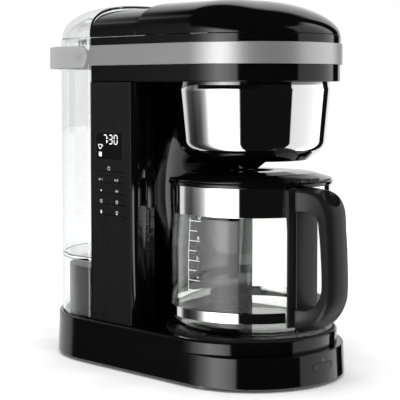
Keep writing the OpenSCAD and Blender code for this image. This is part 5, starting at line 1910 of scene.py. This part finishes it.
@dataclass(frozen=True)
class Studio:
    """Pale floor, soft surroundings and the camera.

    Attributes:
        eye: Place of the camera.
        heading: Level direction that it looks in.
        pitch: Tilt below the level, in degrees.
        lens: Focal length in millimetres.
        rise: Upward shift of the lens, as a share of the sensor's width.
        facing: Direction, in degrees, from the machine to the camera.
        mirror: (degrees from the camera's side, brightness) of what shiny surfaces reflect.
    """

    eye: tuple[float, float, float] = (-0.8868, -0.7905, 0.2778)
    heading: tuple[float, float] = (0.71838, 0.69566)
    pitch: float = 3.78
    lens: float = 110.16
    rise: float = -0.08
    facing: float = 224.0
    mirror: tuple[tuple[float, float], ...] = (
        (-180, 0.9), (-112, 0.8), (-107, 0.2), (-96, 0.1), (-92, 0.15), (-88, 0.26), (-80, 0.42), (-72, 0.7),
        (-58, 2.2), (-45, 4.2), (-32, 3.5), (-19, 1.9), (-18, 0.003), (60, 0.003), (60.5, 0.85), (84, 0.95),
        (100, 1.1), (120, 1.6), (127, 1.6), (128, 0.003), (148, 0.003), (149, 0.9), (180, 0.9),
    )

    def surroundings(self) -> None:
        """White to the camera, evenly lit for matt surfaces, soft boxes for shiny ones."""
        world = bpy.data.worlds.new("studio")
        bpy.context.scene.world = world
        graph = Graph(world)
        place = graph.add("TexCoord")
        parts = graph.add("SeparateXYZ", Vector=place.outputs["Generated"])
        x, y, z = (graph.value(parts, axis) for axis in "XYZ")
        round_turn = graph.math("ARCTAN2", y, x) / (2 * math.pi)
        around = graph.math("FRACT", round_turn - self.facing / 360 + 0.5 + 2.0)
        height = graph.math("ARCSINE", z) / (math.pi / 2)
        peak = 5.0
        level = graph.ramp(around, *[((turn + 180) / 360, glow / peak) for turn, glow in self.mirror]) * peak
        reach = graph.ramp(
            around, (0.0, 0.5), (0.2, 0.5), (0.27, 0.14), (0.5, 0.14), (0.66, 0.62), (0.85, 0.62),
            (0.86, 0.5),
            (1.0, 0.5))
        fade = graph.math("SMOOTH_MIN", 1.0, graph.math("MAXIMUM", 0.0, (reach - height) * 12.0), 0.2)
        side = graph.ramp(around, (0.0, 0.0), (0.18, 0.0), (0.21, 0.8), (0.27, 0.8), (0.31, 0.0))
        below = graph.math("MAXIMUM", 0.0, graph.math("MINIMUM", 1.0, (-0.02 - height) * 12.0))
        boxes = level * fade * (1.0 - side * below) + 0.003
        path = graph.add("LightPath")
        seen = graph.value(path, "Is Camera Ray")
        passed = graph.value(path, "Is Transmission Ray")
        shiny = graph.value(path, "Is Glossy Ray")
        straight = graph.math("MAXIMUM", seen, passed * (1.0 - shiny))
        rest = graph.math("MAXIMUM", 0.0, 1.0 - straight - shiny)
        light = graph.add(
            "Background", Color=(1.0, 1.0, 1.0, 1.0), Strength=straight + shiny * boxes + rest * 0.95)
        graph.add("OutputWorld", Surface=light.outputs["Background"])

    def floor(self) -> None:
        """A wide pale floor."""
        half = 6.0
        mesh = [Vector((a, b, 0.0)) for a, b in ((-half, -half), (half, -half), (half, half), (-half, half))]
        floor = Piece("studio_floor", (mesh, [(0, 1, 2, 3)]))
        paint = MouldedPlastic("floor_paint", "", (0.93, 0.93, 0.93), 0.7, 0.05, 40.0, 0.00001, shine=0.0)
        floor.object.data.materials.append(paint.material())
        floor.object.visible_glossy = False

    def lamp(self) -> None:
        """A wide soft lamp over the machine."""
        data = bpy.data.lights.new("overhead", "AREA")
        data.shape = "DISK"
        data.size = 1.4
        data.energy = 9.0
        lamp = bpy.data.objects.new("overhead", data)
        lamp.location = (-0.5, -0.3, 1.7)
        lamp.rotation_euler = (Vector((0, 0.1, 0.1)) - lamp.location).to_track_quat("-Z", "Y").to_euler()
        lamp.visible_glossy = False
        bpy.context.scene.collection.objects.link(lamp)

    def camera(self) -> None:
        """The camera."""
        data = bpy.data.cameras.new("camera")
        data.lens = self.lens
        data.sensor_width = 36.0
        data.shift_y = self.rise
        camera = bpy.data.objects.new("camera", data)
        camera.location = self.eye
        drop = math.radians(self.pitch)
        way = Vector((self.heading[0] * math.cos(drop), self.heading[1] * math.cos(drop), -math.sin(drop)))
        camera.rotation_euler = way.to_track_quat("-Z", "Y").to_euler()
        bpy.context.scene.collection.objects.link(camera)
        bpy.context.scene.camera = camera
        bpy.context.scene.view_settings.view_transform = "Standard"

    def build(self) -> None:
        """Builds the studio."""
        self.surroundings()
        self.floor()
        self.lamp()
        self.camera()


def main() -> None:
    """Builds the machine part by part, then the studio round it."""
    logging.basicConfig(level=logging.INFO, format="%(message)s")
    layout = Layout.measure()
    roof = Roof(layout)
    InnerParts().build(frame["nodes"])
    Base(layout).build()
    Tower(layout).build()
    Panel(layout).build()
    Head(layout, roof).build()
    BasketHousing(layout).build()
    Tank(layout, roof).build()
    Carafe().build()
    Studio().build()


if __name__ == "__main__":
    main()
